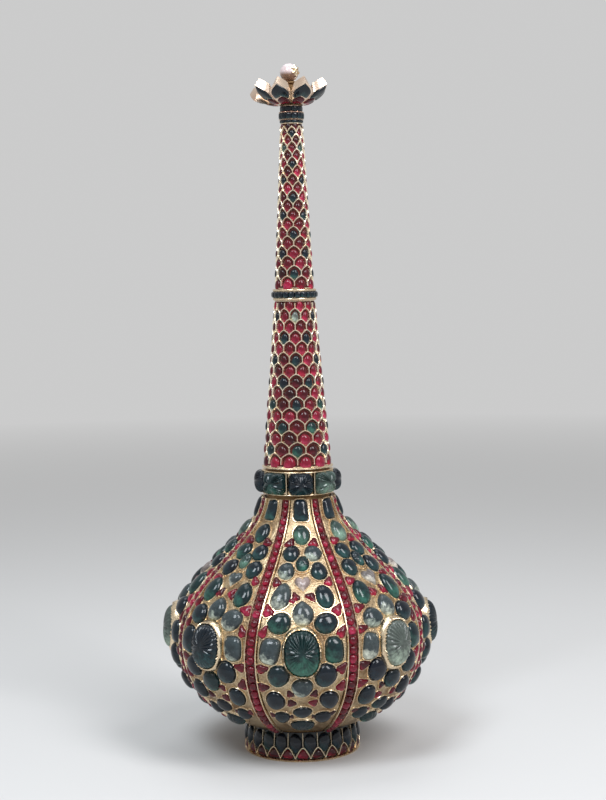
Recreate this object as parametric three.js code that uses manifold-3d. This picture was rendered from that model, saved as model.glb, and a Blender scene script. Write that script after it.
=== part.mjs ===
// A jewelled gold rosewater sprinkler: a flask with a screw-on neck that ends in a flower.
// Millimetres, +Z up. The origin is the centre of the foot's underside, and the front faces -Y.
import * as THREE from 'three';
import { mergeVertices } from 'three/addons/utils/BufferGeometryUtils.js';
import Module from 'manifold-3d';

const wasm = await Module();
wasm.setup();

// Clearances and walls
const SEAT_GAP = 0.3;
const THREAD_CLEARANCE = 0.3;
const SHELL_WALL = 1;
const PANEL_THICKNESS = 1;

// Foot ring
const FOOT_RADIUS = 23.8;
const FOOT_TOP_RADIUS = 22.6;
const FOOT_BORE_RADIUS = 17;
const FOOT_HEIGHT = 11.5;
const FOOT_RIM = 1.1;
const FOOT_CELLS = 24;
const FOOT_STONE_RISE = 0.6;
const FOOT_GROOVE = 0.5;
const FOOT_TRIANGLE_HEIGHT = 3.2;
const FOOT_DROP_HEIGHT = 7.6;

// Bulb: its gold surface swells from the foot to the widest place and draws in to the collar
const SIDES = 8;
const BULB_START_HEIGHT = 12;
const BULB_START_RADIUS = 22;
const BULB_SKIN_START_HEIGHT = 13.2;
const BULB_WIDEST_HEIGHT = 49;
const BULB_RADIUS = 51.5;
const BULB_TOP_HEIGHT = 106.3;
const BULB_TOP_RADIUS = 14.7;
const BULB_BELLY = 2.1;
const BULB_BELLY_ROUNDING = 1.3;
const BULB_SHOULDER = 1.1;
const BASE_PLATE_RADIUS = 21;
const BOWL_ROWS = 5;
const BOWL_ROW_SPREAD = 1.25;
const CROWN_ROWS = 6;
const CROWN_ROW_SPREAD = 0.87;
const THROAT_ROWS = 2;
const SHELL_SEGMENTS = 16;

// Ruby strips between the panels
const STRIP_WIDTH = 5;
const STRIP_END_WIDTH = 3.6;
const STRIP_WIDENING = 1.5;
const STRIP_RAIL_RISE = 1.1;
const STRIP_RUBY_RISE = 1.3;
const STRIP_GROOVE = 0.6;
const STRIP_RUBY_SHARE = 0.55;

// Panels. Their stones are placed in rows of the skin's points, from its foot up, and in shares of the
// panel's half width. A stone that isn't in the middle has a twin on the other side
const PANEL_COLUMNS = 3;
const PANEL_BOW = 0.01;
const STONE_EDGES = 6;
const STONE_RISE_SHARE = 0.28;
const STONE_TABLE_SHARE = 0.6;
const STONES = [
  { row: 10.33, aside: 0, tall: 0.82, wide: 1.15 },
  { row: 9.35, aside: 0, tall: 0.8, wide: 1.1 },
  { row: 8.54, aside: 0.5, tall: 0.6, wide: 0.72 },
  { row: 8.15, aside: 0, tall: 0.58, wide: 0.48 },
  { row: 7.89, aside: 0.6, tall: 0.6, wide: 0.6 },
  { row: 7.43, aside: 0, tall: 0.55, wide: 0.48 },
  { row: 7, aside: 0.6, tall: 0.9, wide: 0.49 },
  { row: 6.43, aside: 0, tall: 0.8, wide: 0.46 },
  { row: 6.1, aside: 0.53, tall: 0.77, wide: 0.52 },
  { row: 5.24, aside: 0.7, tall: 0.87, wide: 0.42 },
  { row: 4.22, aside: 0.51, tall: 0.96, wide: 0.47 },
  { row: 3.65, aside: 0, tall: 0.92, wide: 0.46 },
  { row: 3, aside: 0.65, tall: 1, wide: 0.46 },
  { row: 2.2, aside: 0, tall: 0.6, wide: 0.5 },
  { row: 1.85, aside: 0.59, tall: 0.7, wide: 0.47 },
  { row: 1.29, aside: 0, tall: 0.66, wide: 0.8 },
];

// Carved emerald at the middle of each panel, in a raised gold bezel
const EMERALD_WIDTH = 13.5;
const EMERALD_LENGTH = 17.6;
const EMERALD_ABOVE_WIDEST = 2.2;
const EMERALD_SQUARENESS = 0.8;
const EMERALD_GIRDLE = 1.2;
const EMERALD_SHOULDER = 3.4;
const EMERALD_SHOULDER_SHARE = 0.8;
const EMERALD_RISE = 4.6;
const EMERALD_TABLE_SHARE = 0.4;
const EMERALD_FLUTE = 0.5;
const BEZEL_WALL = 1;
const BEZEL_RISE = 2.2;
const BEZEL_FOOT_SHARE = 0.8;
const EMERALD_EDGES = 16;

// Collar of carved emeralds round the mouth
const COLLAR_HEIGHT = 9.7;
const COLLAR_RIM_RADIUS = 14.7;
const COLLAR_SEAT_RADIUS = 13.6;
const COLLAR_RIM = 0.6;
const COLLAR_BAR_WIDTH = 1.2;
const COLLAR_BAR_PROUD = 0.3;
const COLLAR_EMERALD_RADIUS = 18.1;
const COLLAR_EMERALD_EDGE = 0.35;

// Screwed joint between the flask's mouth and the neck
const THREAD_PITCH = 3;
const THREAD_CREST_RADIUS = 9;
const THREAD_DEPTH = 0.9;
const THREAD_SEGMENTS = 18;
const THREAD_CORE_INSET = 0.4;
const THREAD_RELIEF = 0.5;
const CUT_RUNOUT = 1;
const BUSH_RADIUS = 11.4;
const BUSH_DEPTH = 14;
const BUSH_FLANGE_RADIUS = 13;
const BUSH_FLANGE = 0.5;
const WASHER_RADIUS = 12.6;
const WASHER_BORE_RADIUS = 9.6;
const WASHER_THICKNESS = 0.4;
const SPIGOT_LENGTH = 11;
const SPIGOT_BORE_RADIUS = 5.4;
const SPIGOT_FLANGE_RADIUS = 13.8;
const SPIGOT_FLANGE = 0.6;

// Neck: two tapering tubes under a lattice of set stones, with a ring between them
const NECK_LOWER_LENGTH = 67.3;
const NECK_LOWER_RADII = { foot: 13.3, head: 7.9 };
const NECK_LOWER_BORES = { foot: 10, head: 5.6 };
const NECK_LOWER_ROWS = 15;
const NECK_LOWER_COLUMNS = 12;
const NECK_LOWER_SPREAD = 0.04;
const MID_RING_HEIGHT = 4.5;
const MID_RING_RADIUS = 9.2;
const NECK_UPPER_LENGTH = 66.6;
const NECK_UPPER_RADII = { foot: 7.5, head: 4.2 };
const NECK_UPPER_BORES = { foot: 5.2, head: 3.1 };
const NECK_UPPER_ROWS = 19;
const NECK_UPPER_COLUMNS = 8;
const NECK_UPPER_SPREAD = 0.2;
const NECK_STONE_RISE = 0.9;
const TOP_RING_HEIGHT = 6.9;
const TOP_RING_RADIUS = 5.4;
const TOP_RING_STEP = 0.7;
const TOP_RING_SEGMENTS = 16;
const BEAD_POINTS = 4;
const BEAD_ROUNDING = 0.5;
const RING_RIM_SHARE = 0.24;
const RING_BAND_DEPTH = 0.5;
const RING_SEGMENTS = 24;

// Flower head: a pierced rose, petals round it and a pearl on a pin
const ROSE_RADIUS = 4.7;
const ROSE_THICKNESS = 1.4;
const ROSE_HOLES = 8;
const ROSE_HOLE_RADIUS = 0.6;
const ROSE_HOLE_CIRCLE = 3;
const ROSE_EDGE = 0.5;
const ROSE_SEGMENTS = 16;
const ROSE_HOLE_EDGES = 6;
const PETALS = 8;
const PETAL_BASE_RADIUS = 5.9;
const PETAL_TIP_RADIUS = 14.4;
const PETAL_HEIGHT = 9.4;
const PETAL_BASE_THICKNESS = 0.9;
const PETAL_TIP_THICKNESS = 3.4;
const PETAL_THICKENING = 1.6;
const PETAL_KEEL = 1.2;
const PETAL_POINT = 0.54;
const PETAL_SWELL = 2.6;
const PETAL_BEND = 0.55;
const PETAL_ROWS = 4;
const PEARL_RADIUS = 3.5;
const PEARL_LIFT = 12.1;
const PEARL_ROWS = 9;
const PEARL_SEGMENTS = 14;
const PIN_SEGMENTS = 12;
const PIN_RADIUS = 0.6;
const PIN_STEM_RADIUS = 1.1;
const PIN_FOOT_RADIUS = 2;
const PIN_CUP_RADIUS = 2.2;
const PIN_COLLAR = 0.6;

// Heights of the joints, worked out from the pieces that stand on each other
const COLLAR_TOP = BULB_TOP_HEIGHT + COLLAR_HEIGHT;
const BUSH_TOP = COLLAR_TOP + BUSH_FLANGE;
const WASHER_TOP = BUSH_TOP + WASHER_THICKNESS;
const NECK_LOWER_FOOT = WASHER_TOP + SPIGOT_FLANGE;
const MID_RING_FOOT = NECK_LOWER_FOOT + NECK_LOWER_LENGTH;
const NECK_UPPER_FOOT = MID_RING_FOOT + MID_RING_HEIGHT;
const TOP_RING_FOOT = NECK_UPPER_FOOT + NECK_UPPER_LENGTH;
const ROSE_FOOT = TOP_RING_FOOT + TOP_RING_HEIGHT;
const PIN_FOOT = ROSE_FOOT + ROSE_THICKNESS;
const PEARL_CENTRE = PIN_FOOT + PEARL_LIFT;
const THREAD_ROOT_RADIUS = THREAD_CREST_RADIUS - THREAD_DEPTH;
const BASE_PLATE_TOP = FOOT_HEIGHT + SHELL_WALL;
const EMERALD_HEIGHT_UP = BULB_WIDEST_HEIGHT + EMERALD_ABOVE_WIDEST;

const lerp = THREE.MathUtils.lerp;
const FRONT = -Math.PI / 2;
const SIDE_ANGLE = (2 * Math.PI) / SIDES;

// The shells lie under the panels, clear of the flats between a panel's lines of points
const PANEL_SAG = BULB_RADIUS * (1 - Math.cos(SIDE_ANGLE / (2 * PANEL_COLUMNS)));
const SHELL_LIFT = -(PANEL_THICKNESS + PANEL_SAG + SEAT_GAP);

const finish = (color, roughness, metalness) => (name) => new THREE.MeshStandardMaterial({
  name, color, roughness, metalness,
});
const gold = finish(0xd8b27a, 0.38, 1);
const ruby = finish(0xa01032, 0.12, 0);
const emerald = finish(0x1f5a48, 0.15, 0);
const nacre = finish(0xe6cfc8, 0.25, 0);
const leather = finish(0x4a3020, 0.8, 0);

const flask = new THREE.Group();

function place(name, geometry, material, turn = 0) {
  const mesh = new THREE.Mesh(geometry, material(name));
  mesh.name = name;
  mesh.rotation.z = turn;
  flask.add(mesh);
}

// Keeps only positions, joins shared corners and drops faces with no area
function bare(geometry) {
  const plain = geometry.clone();
  plain.deleteAttribute('normal');
  plain.deleteAttribute('uv');
  const merged = mergeVertices(plain, 1e-5);
  const index = merged.index.array;
  const kept = [];
  for (let i = 0; i < index.length; i += 3) {
    const [a, b, c] = [index[i], index[i + 1], index[i + 2]];
    if (a !== b && b !== c && c !== a) kept.push(a, b, c);
  }
  merged.setIndex(kept);
  return merged;
}

// A solid of revolution about Z. The profile is a list of [radius, height], outer side going up
function turned(profile, segments) {
  const points = profile.map(([radius, height]) => new THREE.Vector2(radius, height));
  if (profile[0][0] > 0) points.push(points[0].clone());
  const geometry = bare(new THREE.LatheGeometry(points, segments));
  geometry.rotateX(Math.PI / 2);
  return geometry;
}

function solidOf(geometry) {
  const plain = bare(geometry);
  const mesh = new wasm.Mesh({
    numProp: 3,
    vertProperties: new Float32Array(plain.attributes.position.array),
    triVerts: new Uint32Array(plain.index.array),
  });
  return new wasm.Manifold(mesh);
}

function geometryOf(solid) {
  const mesh = solid.getMesh();
  const geometry = new THREE.BufferGeometry();
  geometry.setAttribute('position', new THREE.BufferAttribute(new Float32Array(mesh.vertProperties), 3));
  geometry.setIndex(new THREE.BufferAttribute(new Uint32Array(mesh.triVerts), 1));
  return geometry;
}

function geometryFrom(points, faces) {
  const geometry = new THREE.BufferGeometry();
  geometry.setAttribute('position', new THREE.Float32BufferAttribute(points.flatMap((p) => p.toArray()), 3));
  geometry.setIndex(faces);
  return geometry;
}

// A solid between two grids of points that face each other: rows go up, columns go round to the right
function slab(outer, inner) {
  const rows = outer.length;
  const columns = outer[0].length;
  const front = (k, i) => k * columns + i;
  const back = (k, i) => rows * columns + k * columns + i;
  const points = [...outer.flat(), ...inner.flat()];
  const faces = [];
  const quad = (a, b, c, d) => faces.push(a, b, c, a, c, d);
  for (let k = 0; k < rows - 1; k += 1) {
    for (let i = 0; i < columns - 1; i += 1) {
      quad(front(k, i), front(k, i + 1), front(k + 1, i + 1), front(k + 1, i));
      quad(back(k, i), back(k + 1, i), back(k + 1, i + 1), back(k, i + 1));
    }
    quad(front(k, 0), front(k + 1, 0), back(k + 1, 0), back(k, 0));
    quad(front(k, columns - 1), back(k, columns - 1), back(k + 1, columns - 1), front(k + 1, columns - 1));
  }
  for (let i = 0; i < columns - 1; i += 1) {
    quad(front(0, i), back(0, i), back(0, i + 1), front(0, i + 1));
    quad(front(rows - 1, i), front(rows - 1, i + 1), back(rows - 1, i + 1), back(rows - 1, i));
  }
  return geometryFrom(points, faces);
}

// A solid through rings of equally many points, going up. A loop joins the last ring to the first
function loft(rings, loop = false, crossed = () => false) {
  const count = rings[0].length;
  const points = rings.flat();
  const faces = [];
  const at = (k, i) => (k % rings.length) * count + (i % count);
  for (let k = 0; k < rings.length - (loop ? 0 : 1); k += 1) {
    for (let i = 0; i < count; i += 1) {
      const [a, b, c, d] = [at(k, i), at(k, i + 1), at(k + 1, i + 1), at(k + 1, i)];
      if (crossed(k, i)) faces.push(a, b, d, b, c, d);
      else faces.push(a, b, c, a, c, d);
    }
  }
  if (!loop) {
    const top = rings.length - 1;
    for (let i = 1; i < count - 1; i += 1) {
      faces.push(at(0, 0), at(0, i + 1), at(0, i));
      faces.push(at(top, 0), at(top, i), at(top, i + 1));
    }
  }
  return geometryFrom(points, faces);
}

// Bulb outline

function bulbRadius(height) {
  if (height < BULB_WIDEST_HEIGHT) {
    const climb = (height - BULB_START_HEIGHT) / (BULB_WIDEST_HEIGHT - BULB_START_HEIGHT);
    const swell = (1 - (1 - climb) ** BULB_BELLY) ** (1 / BULB_BELLY_ROUNDING);
    return lerp(BULB_START_RADIUS, BULB_RADIUS, swell);
  }
  const climb = (height - BULB_WIDEST_HEIGHT) / (BULB_TOP_HEIGHT - BULB_WIDEST_HEIGHT);
  return lerp(BULB_TOP_RADIUS, BULB_RADIUS, 0.5 + 0.5 * Math.cos(Math.PI * climb ** BULB_SHOULDER));
}

function bulbSlope(height) {
  const step = 0.05;
  const low = Math.max(height - step, BULB_SKIN_START_HEIGHT);
  const high = Math.min(height + step, BULB_TOP_HEIGHT - SEAT_GAP);
  return (bulbRadius(high) - bulbRadius(low)) / (high - low);
}

// A point of the outline at a height, moved square to the surface by a lift, as [radius, height]
function outline(height, lift) {
  const slope = bulbSlope(height);
  const length = Math.hypot(1, slope);
  return [bulbRadius(height) + lift / length, height - (lift * slope) / length];
}

// The point that lies as far under the surface, but at the very height of a level joint
function seam(height, lift) {
  return [bulbRadius(height) + lift * Math.hypot(1, bulbSlope(height)), height];
}

function bulbPoint(azimuth, height, lift, aside = 0) {
  const [radius, z] = outline(height, lift);
  const x = radius * Math.cos(azimuth) - aside * Math.sin(azimuth);
  const y = radius * Math.sin(azimuth) + aside * Math.cos(azimuth);
  return new THREE.Vector3(x, y, z);
}

// Heights at which the bowl, the crown, the panels and the strips all have a row of points
function bowlHeights() {
  const span = BULB_WIDEST_HEIGHT - BULB_SKIN_START_HEIGHT;
  const share = (k) => (k / BOWL_ROWS) ** BOWL_ROW_SPREAD;
  return Array.from({ length: BOWL_ROWS + 1 }, (_, k) => BULB_SKIN_START_HEIGHT + span * share(k));
}

function crownHeights() {
  const span = BULB_TOP_HEIGHT - SEAT_GAP - BULB_WIDEST_HEIGHT;
  const share = (k) => (k / CROWN_ROWS) ** CROWN_ROW_SPREAD;
  return Array.from({ length: CROWN_ROWS + 1 }, (_, k) => BULB_WIDEST_HEIGHT + span * share(k));
}

function skinHeights() {
  return [...bowlHeights(), ...crownHeights().slice(1)];
}

// The strips narrow as the bulb draws in to the foot and the collar
function stripWidth(height) {
  const swell = (bulbRadius(height) - BULB_TOP_RADIUS) / (BULB_RADIUS - BULB_TOP_RADIUS);
  return lerp(STRIP_END_WIDTH, STRIP_WIDTH, Math.min(1, STRIP_WIDENING * swell));
}

// Foot ring: a zigzag of small stones over a plain edge
function footRing() {
  const count = 2 * FOOT_CELLS;
  const side = (height) => lerp(FOOT_RADIUS, FOOT_TOP_RADIUS, height / FOOT_HEIGHT);
  const circle = (radius, height) => Array.from({ length: count }, (_, i) => {
    const angle = FRONT + (2 * Math.PI * i) / count;
    const reach = radius(i);
    return new THREE.Vector3(reach * Math.cos(angle), reach * Math.sin(angle), height);
  });
  const plain = (radius) => () => radius;
  const waved = (height, even, odd) => circle((i) => side(height) + (i % 2 === 0 ? even : odd), height);
  return loft([
    circle(plain(FOOT_RADIUS), 0),
    circle(plain(side(FOOT_RIM)), FOOT_RIM),
    waved(FOOT_TRIANGLE_HEIGHT, -FOOT_GROOVE, FOOT_STONE_RISE / 2),
    waved(FOOT_DROP_HEIGHT, FOOT_STONE_RISE, -FOOT_GROOVE),
    circle(plain(FOOT_TOP_RADIUS), FOOT_HEIGHT),
    circle(plain(FOOT_BORE_RADIUS), FOOT_HEIGHT),
    circle(plain(FOOT_BORE_RADIUS), 0),
  ], true);
}

// Shells that hold the rosewater

function basePlate() {
  return turned([[0, FOOT_HEIGHT], [BASE_PLATE_RADIUS, FOOT_HEIGHT], [BASE_PLATE_RADIUS, BASE_PLATE_TOP],
    [0, BASE_PLATE_TOP]], SHELL_SEGMENTS);
}

// A shell between two level joints, at the first and the last of the heights
function shell(heights) {
  const skin = (lift) => heights.map((height, k) => {
    const joint = k === 0 || k === heights.length - 1;
    return joint ? seam(height, lift) : outline(height, lift);
  });
  return turned([...skin(SHELL_LIFT), ...skin(SHELL_LIFT - SHELL_WALL).reverse()], SHELL_SEGMENTS);
}

// The bowl is open below and stands on the base plate
function lowerBowl() {
  const outer = bowlHeights().map((height) => outline(height, SHELL_LIFT));
  const inner = bowlHeights().map((height) => outline(height, SHELL_LIFT - SHELL_WALL)).reverse();
  outer[outer.length - 1] = seam(BULB_WIDEST_HEIGHT, SHELL_LIFT);
  inner[0] = seam(BULB_WIDEST_HEIGHT, SHELL_LIFT - SHELL_WALL);
  return turned([[BASE_PLATE_RADIUS - SHELL_WALL, BASE_PLATE_TOP], [BASE_PLATE_RADIUS, BASE_PLATE_TOP],
    ...outer, ...inner], SHELL_SEGMENTS);
}

function upperShell() {
  return shell(crownHeights().slice(0, CROWN_ROWS + 1 - THROAT_ROWS));
}

// The throat leads up into the collar and round the mouth bush
function throatTube() {
  const heights = crownHeights().slice(CROWN_ROWS - THROAT_ROWS);
  const outer = heights.map((height) => outline(height, SHELL_LIFT));
  const inner = heights.map((height) => outline(height, SHELL_LIFT - SHELL_WALL)).reverse();
  outer[0] = seam(heights[0], SHELL_LIFT);
  inner[inner.length - 1] = seam(heights[0], SHELL_LIFT - SHELL_WALL);
  outer[outer.length - 1] = [BULB_TOP_RADIUS + SHELL_LIFT, BULB_TOP_HEIGHT];
  inner[0] = [BUSH_RADIUS + SEAT_GAP, BULB_TOP_HEIGHT];
  return turned([...outer, ...inner], SHELL_SEGMENTS);
}

// Panels: curved gold plates that taper towards the foot and the collar

function panelHalfAngle(height) {
  return SIDE_ANGLE / 2 - Math.asin((stripWidth(height) / 2 + SEAT_GAP) / bulbRadius(height));
}

function rowHeight(row) {
  const heights = skinHeights();
  const low = Math.min(Math.floor(row), heights.length - 2);
  return lerp(heights[low], heights[low + 1], row - low);
}

// Triangles of the ground between a panel's rim and its stones. An edge is turned to the other diagonal
// while the two angles that face it make more than half a turn, so that no triangle is needlessly long
function groundFaces(unrolled, rim, outlines) {
  const order = [rim, ...outlines].flat();
  const places = (loop) => loop.map((point) => unrolled[point]);
  const faces = THREE.ShapeUtils.triangulateShape(places(rim), outlines.map(places))
    .map((face) => face.map((i) => order[i]));
  const angleAt = (tip, a, b) => {
    const toA = unrolled[a].clone().sub(unrolled[tip]);
    const toB = unrolled[b].clone().sub(unrolled[tip]);
    return toA.angleTo(toB);
  };
  const slack = 0.001;
  const turnOneEdge = () => {
    const facing = new Map();
    faces.forEach(([a, b, c], n) => {
      facing.set(`${a} ${b}`, { n, tip: c });
      facing.set(`${b} ${c}`, { n, tip: a });
      facing.set(`${c} ${a}`, { n, tip: b });
    });
    for (const [edge, here] of facing) {
      const [a, b] = edge.split(' ').map(Number);
      const there = facing.get(`${b} ${a}`);
      if (there && angleAt(here.tip, a, b) + angleAt(there.tip, a, b) > Math.PI + slack) {
        faces[here.n] = [a, there.tip, here.tip];
        faces[there.n] = [there.tip, b, here.tip];
        return true;
      }
    }
    return false;
  };
  let turning = true;
  while (turning) turning = turnOneEdge();
  return faces.flat();
}

// A curved plate whose stones rise from their outlines to smaller tables
function jewelPanel() {
  const bands = skinHeights().length - 1;
  const rows = [...Array(bands + 1).keys()];
  const edges = [...Array(PANEL_COLUMNS + 1).keys()];
  const tall = BULB_TOP_HEIGHT - BULB_SKIN_START_HEIGHT;
  const rowLength = Math.hypot(tall, 2 * (BULB_RADIUS - BULB_TOP_RADIUS)) / bands;
  const points = [];
  const unrolled = [];
  // The unrolled panel is bowed a little, so that no three points of its rim lie in a line
  const spot = (row, across, lift) => {
    const height = rowHeight(row);
    const angle = across * panelHalfAngle(height);
    const up = (row - bands / 2) * rowLength * (1 + PANEL_BOW * (1 - across * across));
    unrolled.push(new THREE.Vector2(angle * bulbRadius(height), up));
    return points.push(bulbPoint(FRONT + angle, height, lift)) - 1;
  };
  const acrossOf = (i) => (2 * i) / PANEL_COLUMNS - 1;
  const back = rows.map((k) => edges.map((i) => spot(k, acrossOf(i), -PANEL_THICKNESS)));
  const perimeter = [
    ...edges.map((i) => [0, i]),
    ...rows.slice(1).map((k) => [k, PANEL_COLUMNS]),
    ...edges.slice(0, -1).reverse().map((i) => [bands, i]),
    ...rows.slice(1, -1).reverse().map((k) => [k, 0]),
  ];
  const rim = perimeter.map(([k, i]) => spot(k, acrossOf(i), 0));
  const ring = (stone, scale, lift) => Array.from({ length: STONE_EDGES }, (_, n) => {
    const angle = Math.PI / 2 + (2 * Math.PI * n) / STONE_EDGES;
    const up = (scale * stone.tall * Math.sin(angle)) / 2;
    const aside = (scale * stone.wide * Math.cos(angle)) / 2;
    return spot(stone.row + up, stone.aside + aside, lift);
  });
  const twins = STONES.filter((stone) => stone.aside > 0).map((stone) => ({ ...stone, aside: -stone.aside }));
  const stones = [...STONES, ...twins];
  const outlines = stones.map((stone) => ring(stone, 1, 0));
  const faces = groundFaces(unrolled, rim, outlines);
  const quad = (a, b, c, d) => faces.push(a, b, c, a, c, d);
  stones.forEach((stone, n) => {
    const height = rowHeight(stone.row);
    const rise = STONE_RISE_SHARE * stone.wide * panelHalfAngle(height) * bulbRadius(height);
    const base = outlines[n];
    const table = ring(stone, STONE_TABLE_SHARE, rise);
    base.forEach((point, i) => {
      const next = (i + 1) % STONE_EDGES;
      quad(point, base[next], table[next], table[i]);
    });
    for (let i = 1; i < STONE_EDGES - 1; i += 1) faces.push(table[0], table[i], table[i + 1]);
  });
  for (let k = 0; k < bands; k += 1) {
    for (let i = 0; i < PANEL_COLUMNS; i += 1) {
      quad(back[k][i], back[k + 1][i], back[k + 1][i + 1], back[k][i + 1]);
    }
  }
  perimeter.forEach(([k, i], n) => {
    const next = (n + 1) % perimeter.length;
    const [nextRow, nextEdge] = perimeter[next];
    quad(rim[n], back[k][i], back[nextRow][nextEdge], rim[next]);
  });
  return geometryOf(solidOf(geometryFrom(points, faces)).subtract(emeraldSeat()).add(bezel()));
}

// A closed outline of points round the emerald's place, lifted square to the surface there
function ovalOnBulb(width, length, lift) {
  const centre = bulbPoint(FRONT, EMERALD_HEIGHT_UP, 0);
  const out = bulbPoint(FRONT, EMERALD_HEIGHT_UP, 1).sub(centre);
  const side = new THREE.Vector3(-Math.sin(FRONT), Math.cos(FRONT), 0);
  const up = new THREE.Vector3().crossVectors(out, side);
  const soften = (value) => Math.sign(value) * Math.abs(value) ** EMERALD_SQUARENESS;
  return Array.from({ length: EMERALD_EDGES }, (_, i) => {
    const turn = (2 * Math.PI * (i + 0.5)) / EMERALD_EDGES;
    return centre.clone()
      .addScaledVector(out, lift)
      .addScaledVector(side, (width / 2) * soften(Math.cos(turn)))
      .addScaledVector(up, (length / 2) * soften(Math.sin(turn)));
  });
}

// Room for the large emerald, cut from the set stones next to it
function emeraldSeat() {
  const ring = (lift) => ovalOnBulb(EMERALD_WIDTH + 2 * SEAT_GAP, EMERALD_LENGTH + 2 * SEAT_GAP, lift);
  return solidOf(loft([ring(SEAT_GAP / 2), ring(EMERALD_RISE)]));
}

// The rim that holds the large emerald. Its foot lies in the thickness of the plate all round
function bezel() {
  const opening = 2 * SEAT_GAP;
  const wall = opening + 2 * BEZEL_WALL;
  const ring = (extra, lift) => ovalOnBulb(EMERALD_WIDTH + extra, EMERALD_LENGTH + extra, lift);
  const foot = (extra) => ring(extra, 0).map((point) => {
    const azimuth = Math.atan2(point.y, point.x);
    return bulbPoint(azimuth, point.z, -BEZEL_FOOT_SHARE * PANEL_THICKNESS);
  });
  return solidOf(loft([foot(wall), ring(wall, BEZEL_RISE), ring(opening, BEZEL_RISE),
    foot(opening)], true));
}

// Every second edge is cut back, so that flutes run from the girdle to the table
function carvedEmerald() {
  const ring = (scale, rise, flute) => {
    const edge = ovalOnBulb(EMERALD_WIDTH * scale, EMERALD_LENGTH * scale, SEAT_GAP + rise);
    const low = ovalOnBulb(EMERALD_WIDTH * scale, EMERALD_LENGTH * scale, SEAT_GAP + rise - flute);
    return edge.map((point, i) => (i % 2 === 0 ? low[i] : point));
  };
  return loft([ring(1, 0, 0), ring(1, EMERALD_GIRDLE, 0),
    ring(EMERALD_SHOULDER_SHARE, EMERALD_SHOULDER, EMERALD_FLUTE),
    ring(EMERALD_TABLE_SHARE, EMERALD_RISE, EMERALD_FLUTE / 2)]);
}

// Strips: two gold rails and a ridge of rubies that follow the bulb's outline

function rubyStrip() {
  const section = (half) => [
    [half, -PANEL_THICKNESS],
    [-half, -PANEL_THICKNESS],
    [-half, STRIP_RAIL_RISE],
    [-STRIP_RUBY_SHARE * half, STRIP_RUBY_RISE - STRIP_GROOVE],
    [0, STRIP_RUBY_RISE],
    [STRIP_RUBY_SHARE * half, STRIP_RUBY_RISE - STRIP_GROOVE],
    [half, STRIP_RAIL_RISE],
  ];
  return loft(skinHeights().map((height) => section(stripWidth(height) / 2)
    .map(([aside, lift]) => bulbPoint(FRONT, height, lift, aside))));
}

// Collar

function collarRing() {
  const low = BULB_TOP_HEIGHT + COLLAR_RIM;
  const high = COLLAR_TOP - COLLAR_RIM;
  const bore = BUSH_RADIUS + SEAT_GAP;
  const seat = COLLAR_SEAT_RADIUS;
  const rim = COLLAR_RIM_RADIUS;
  let ring = solidOf(turned([[bore, BULB_TOP_HEIGHT], [rim, BULB_TOP_HEIGHT], [rim, low], [seat, low],
    [seat, high], [rim, high], [rim, COLLAR_TOP], [bore, COLLAR_TOP]], RING_SEGMENTS));
  const barBack = (bore + seat) / 2;
  const barFront = rim + COLLAR_BAR_PROUD;
  for (let i = 0; i < SIDES; i += 1) {
    const bar = new THREE.BoxGeometry(barFront - barBack, COLLAR_BAR_WIDTH, high - low + COLLAR_RIM);
    bar.translate((barFront + barBack) / 2, 0, (low + high) / 2);
    bar.rotateZ(FRONT + (i + 0.5) * SIDE_ANGLE);
    ring = ring.add(solidOf(bar));
  }
  return geometryOf(ring);
}

function collarEmerald() {
  const columns = 4;
  const rows = 3;
  const low = BULB_TOP_HEIGHT + COLLAR_RIM + SEAT_GAP;
  const high = COLLAR_TOP - COLLAR_RIM - SEAT_GAP;
  const half = SIDE_ANGLE / 2 - Math.asin((COLLAR_BAR_WIDTH / 2 + SEAT_GAP) / COLLAR_SEAT_RADIUS);
  const back = COLLAR_SEAT_RADIUS + SEAT_GAP;
  const steps = (count) => [...Array(count + 1).keys()];
  const grid = (crown) => steps(rows).map((k) => steps(columns).map((i) => {
    const v = (2 * k) / rows - 1;
    const u = (2 * i) / columns - 1;
    const swell = Math.sqrt((1 - u * u) * (1 - v * v));
    const radius = back + crown * lerp(COLLAR_EMERALD_EDGE, 1, swell);
    const angle = FRONT + half * u;
    return new THREE.Vector3(radius * Math.cos(angle), radius * Math.sin(angle), lerp(low, high, k / rows));
  }));
  return slab(grid(COLLAR_EMERALD_RADIUS - back), grid(0));
}

// Screw thread: a right-hand V of one crest and one root a turn

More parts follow.
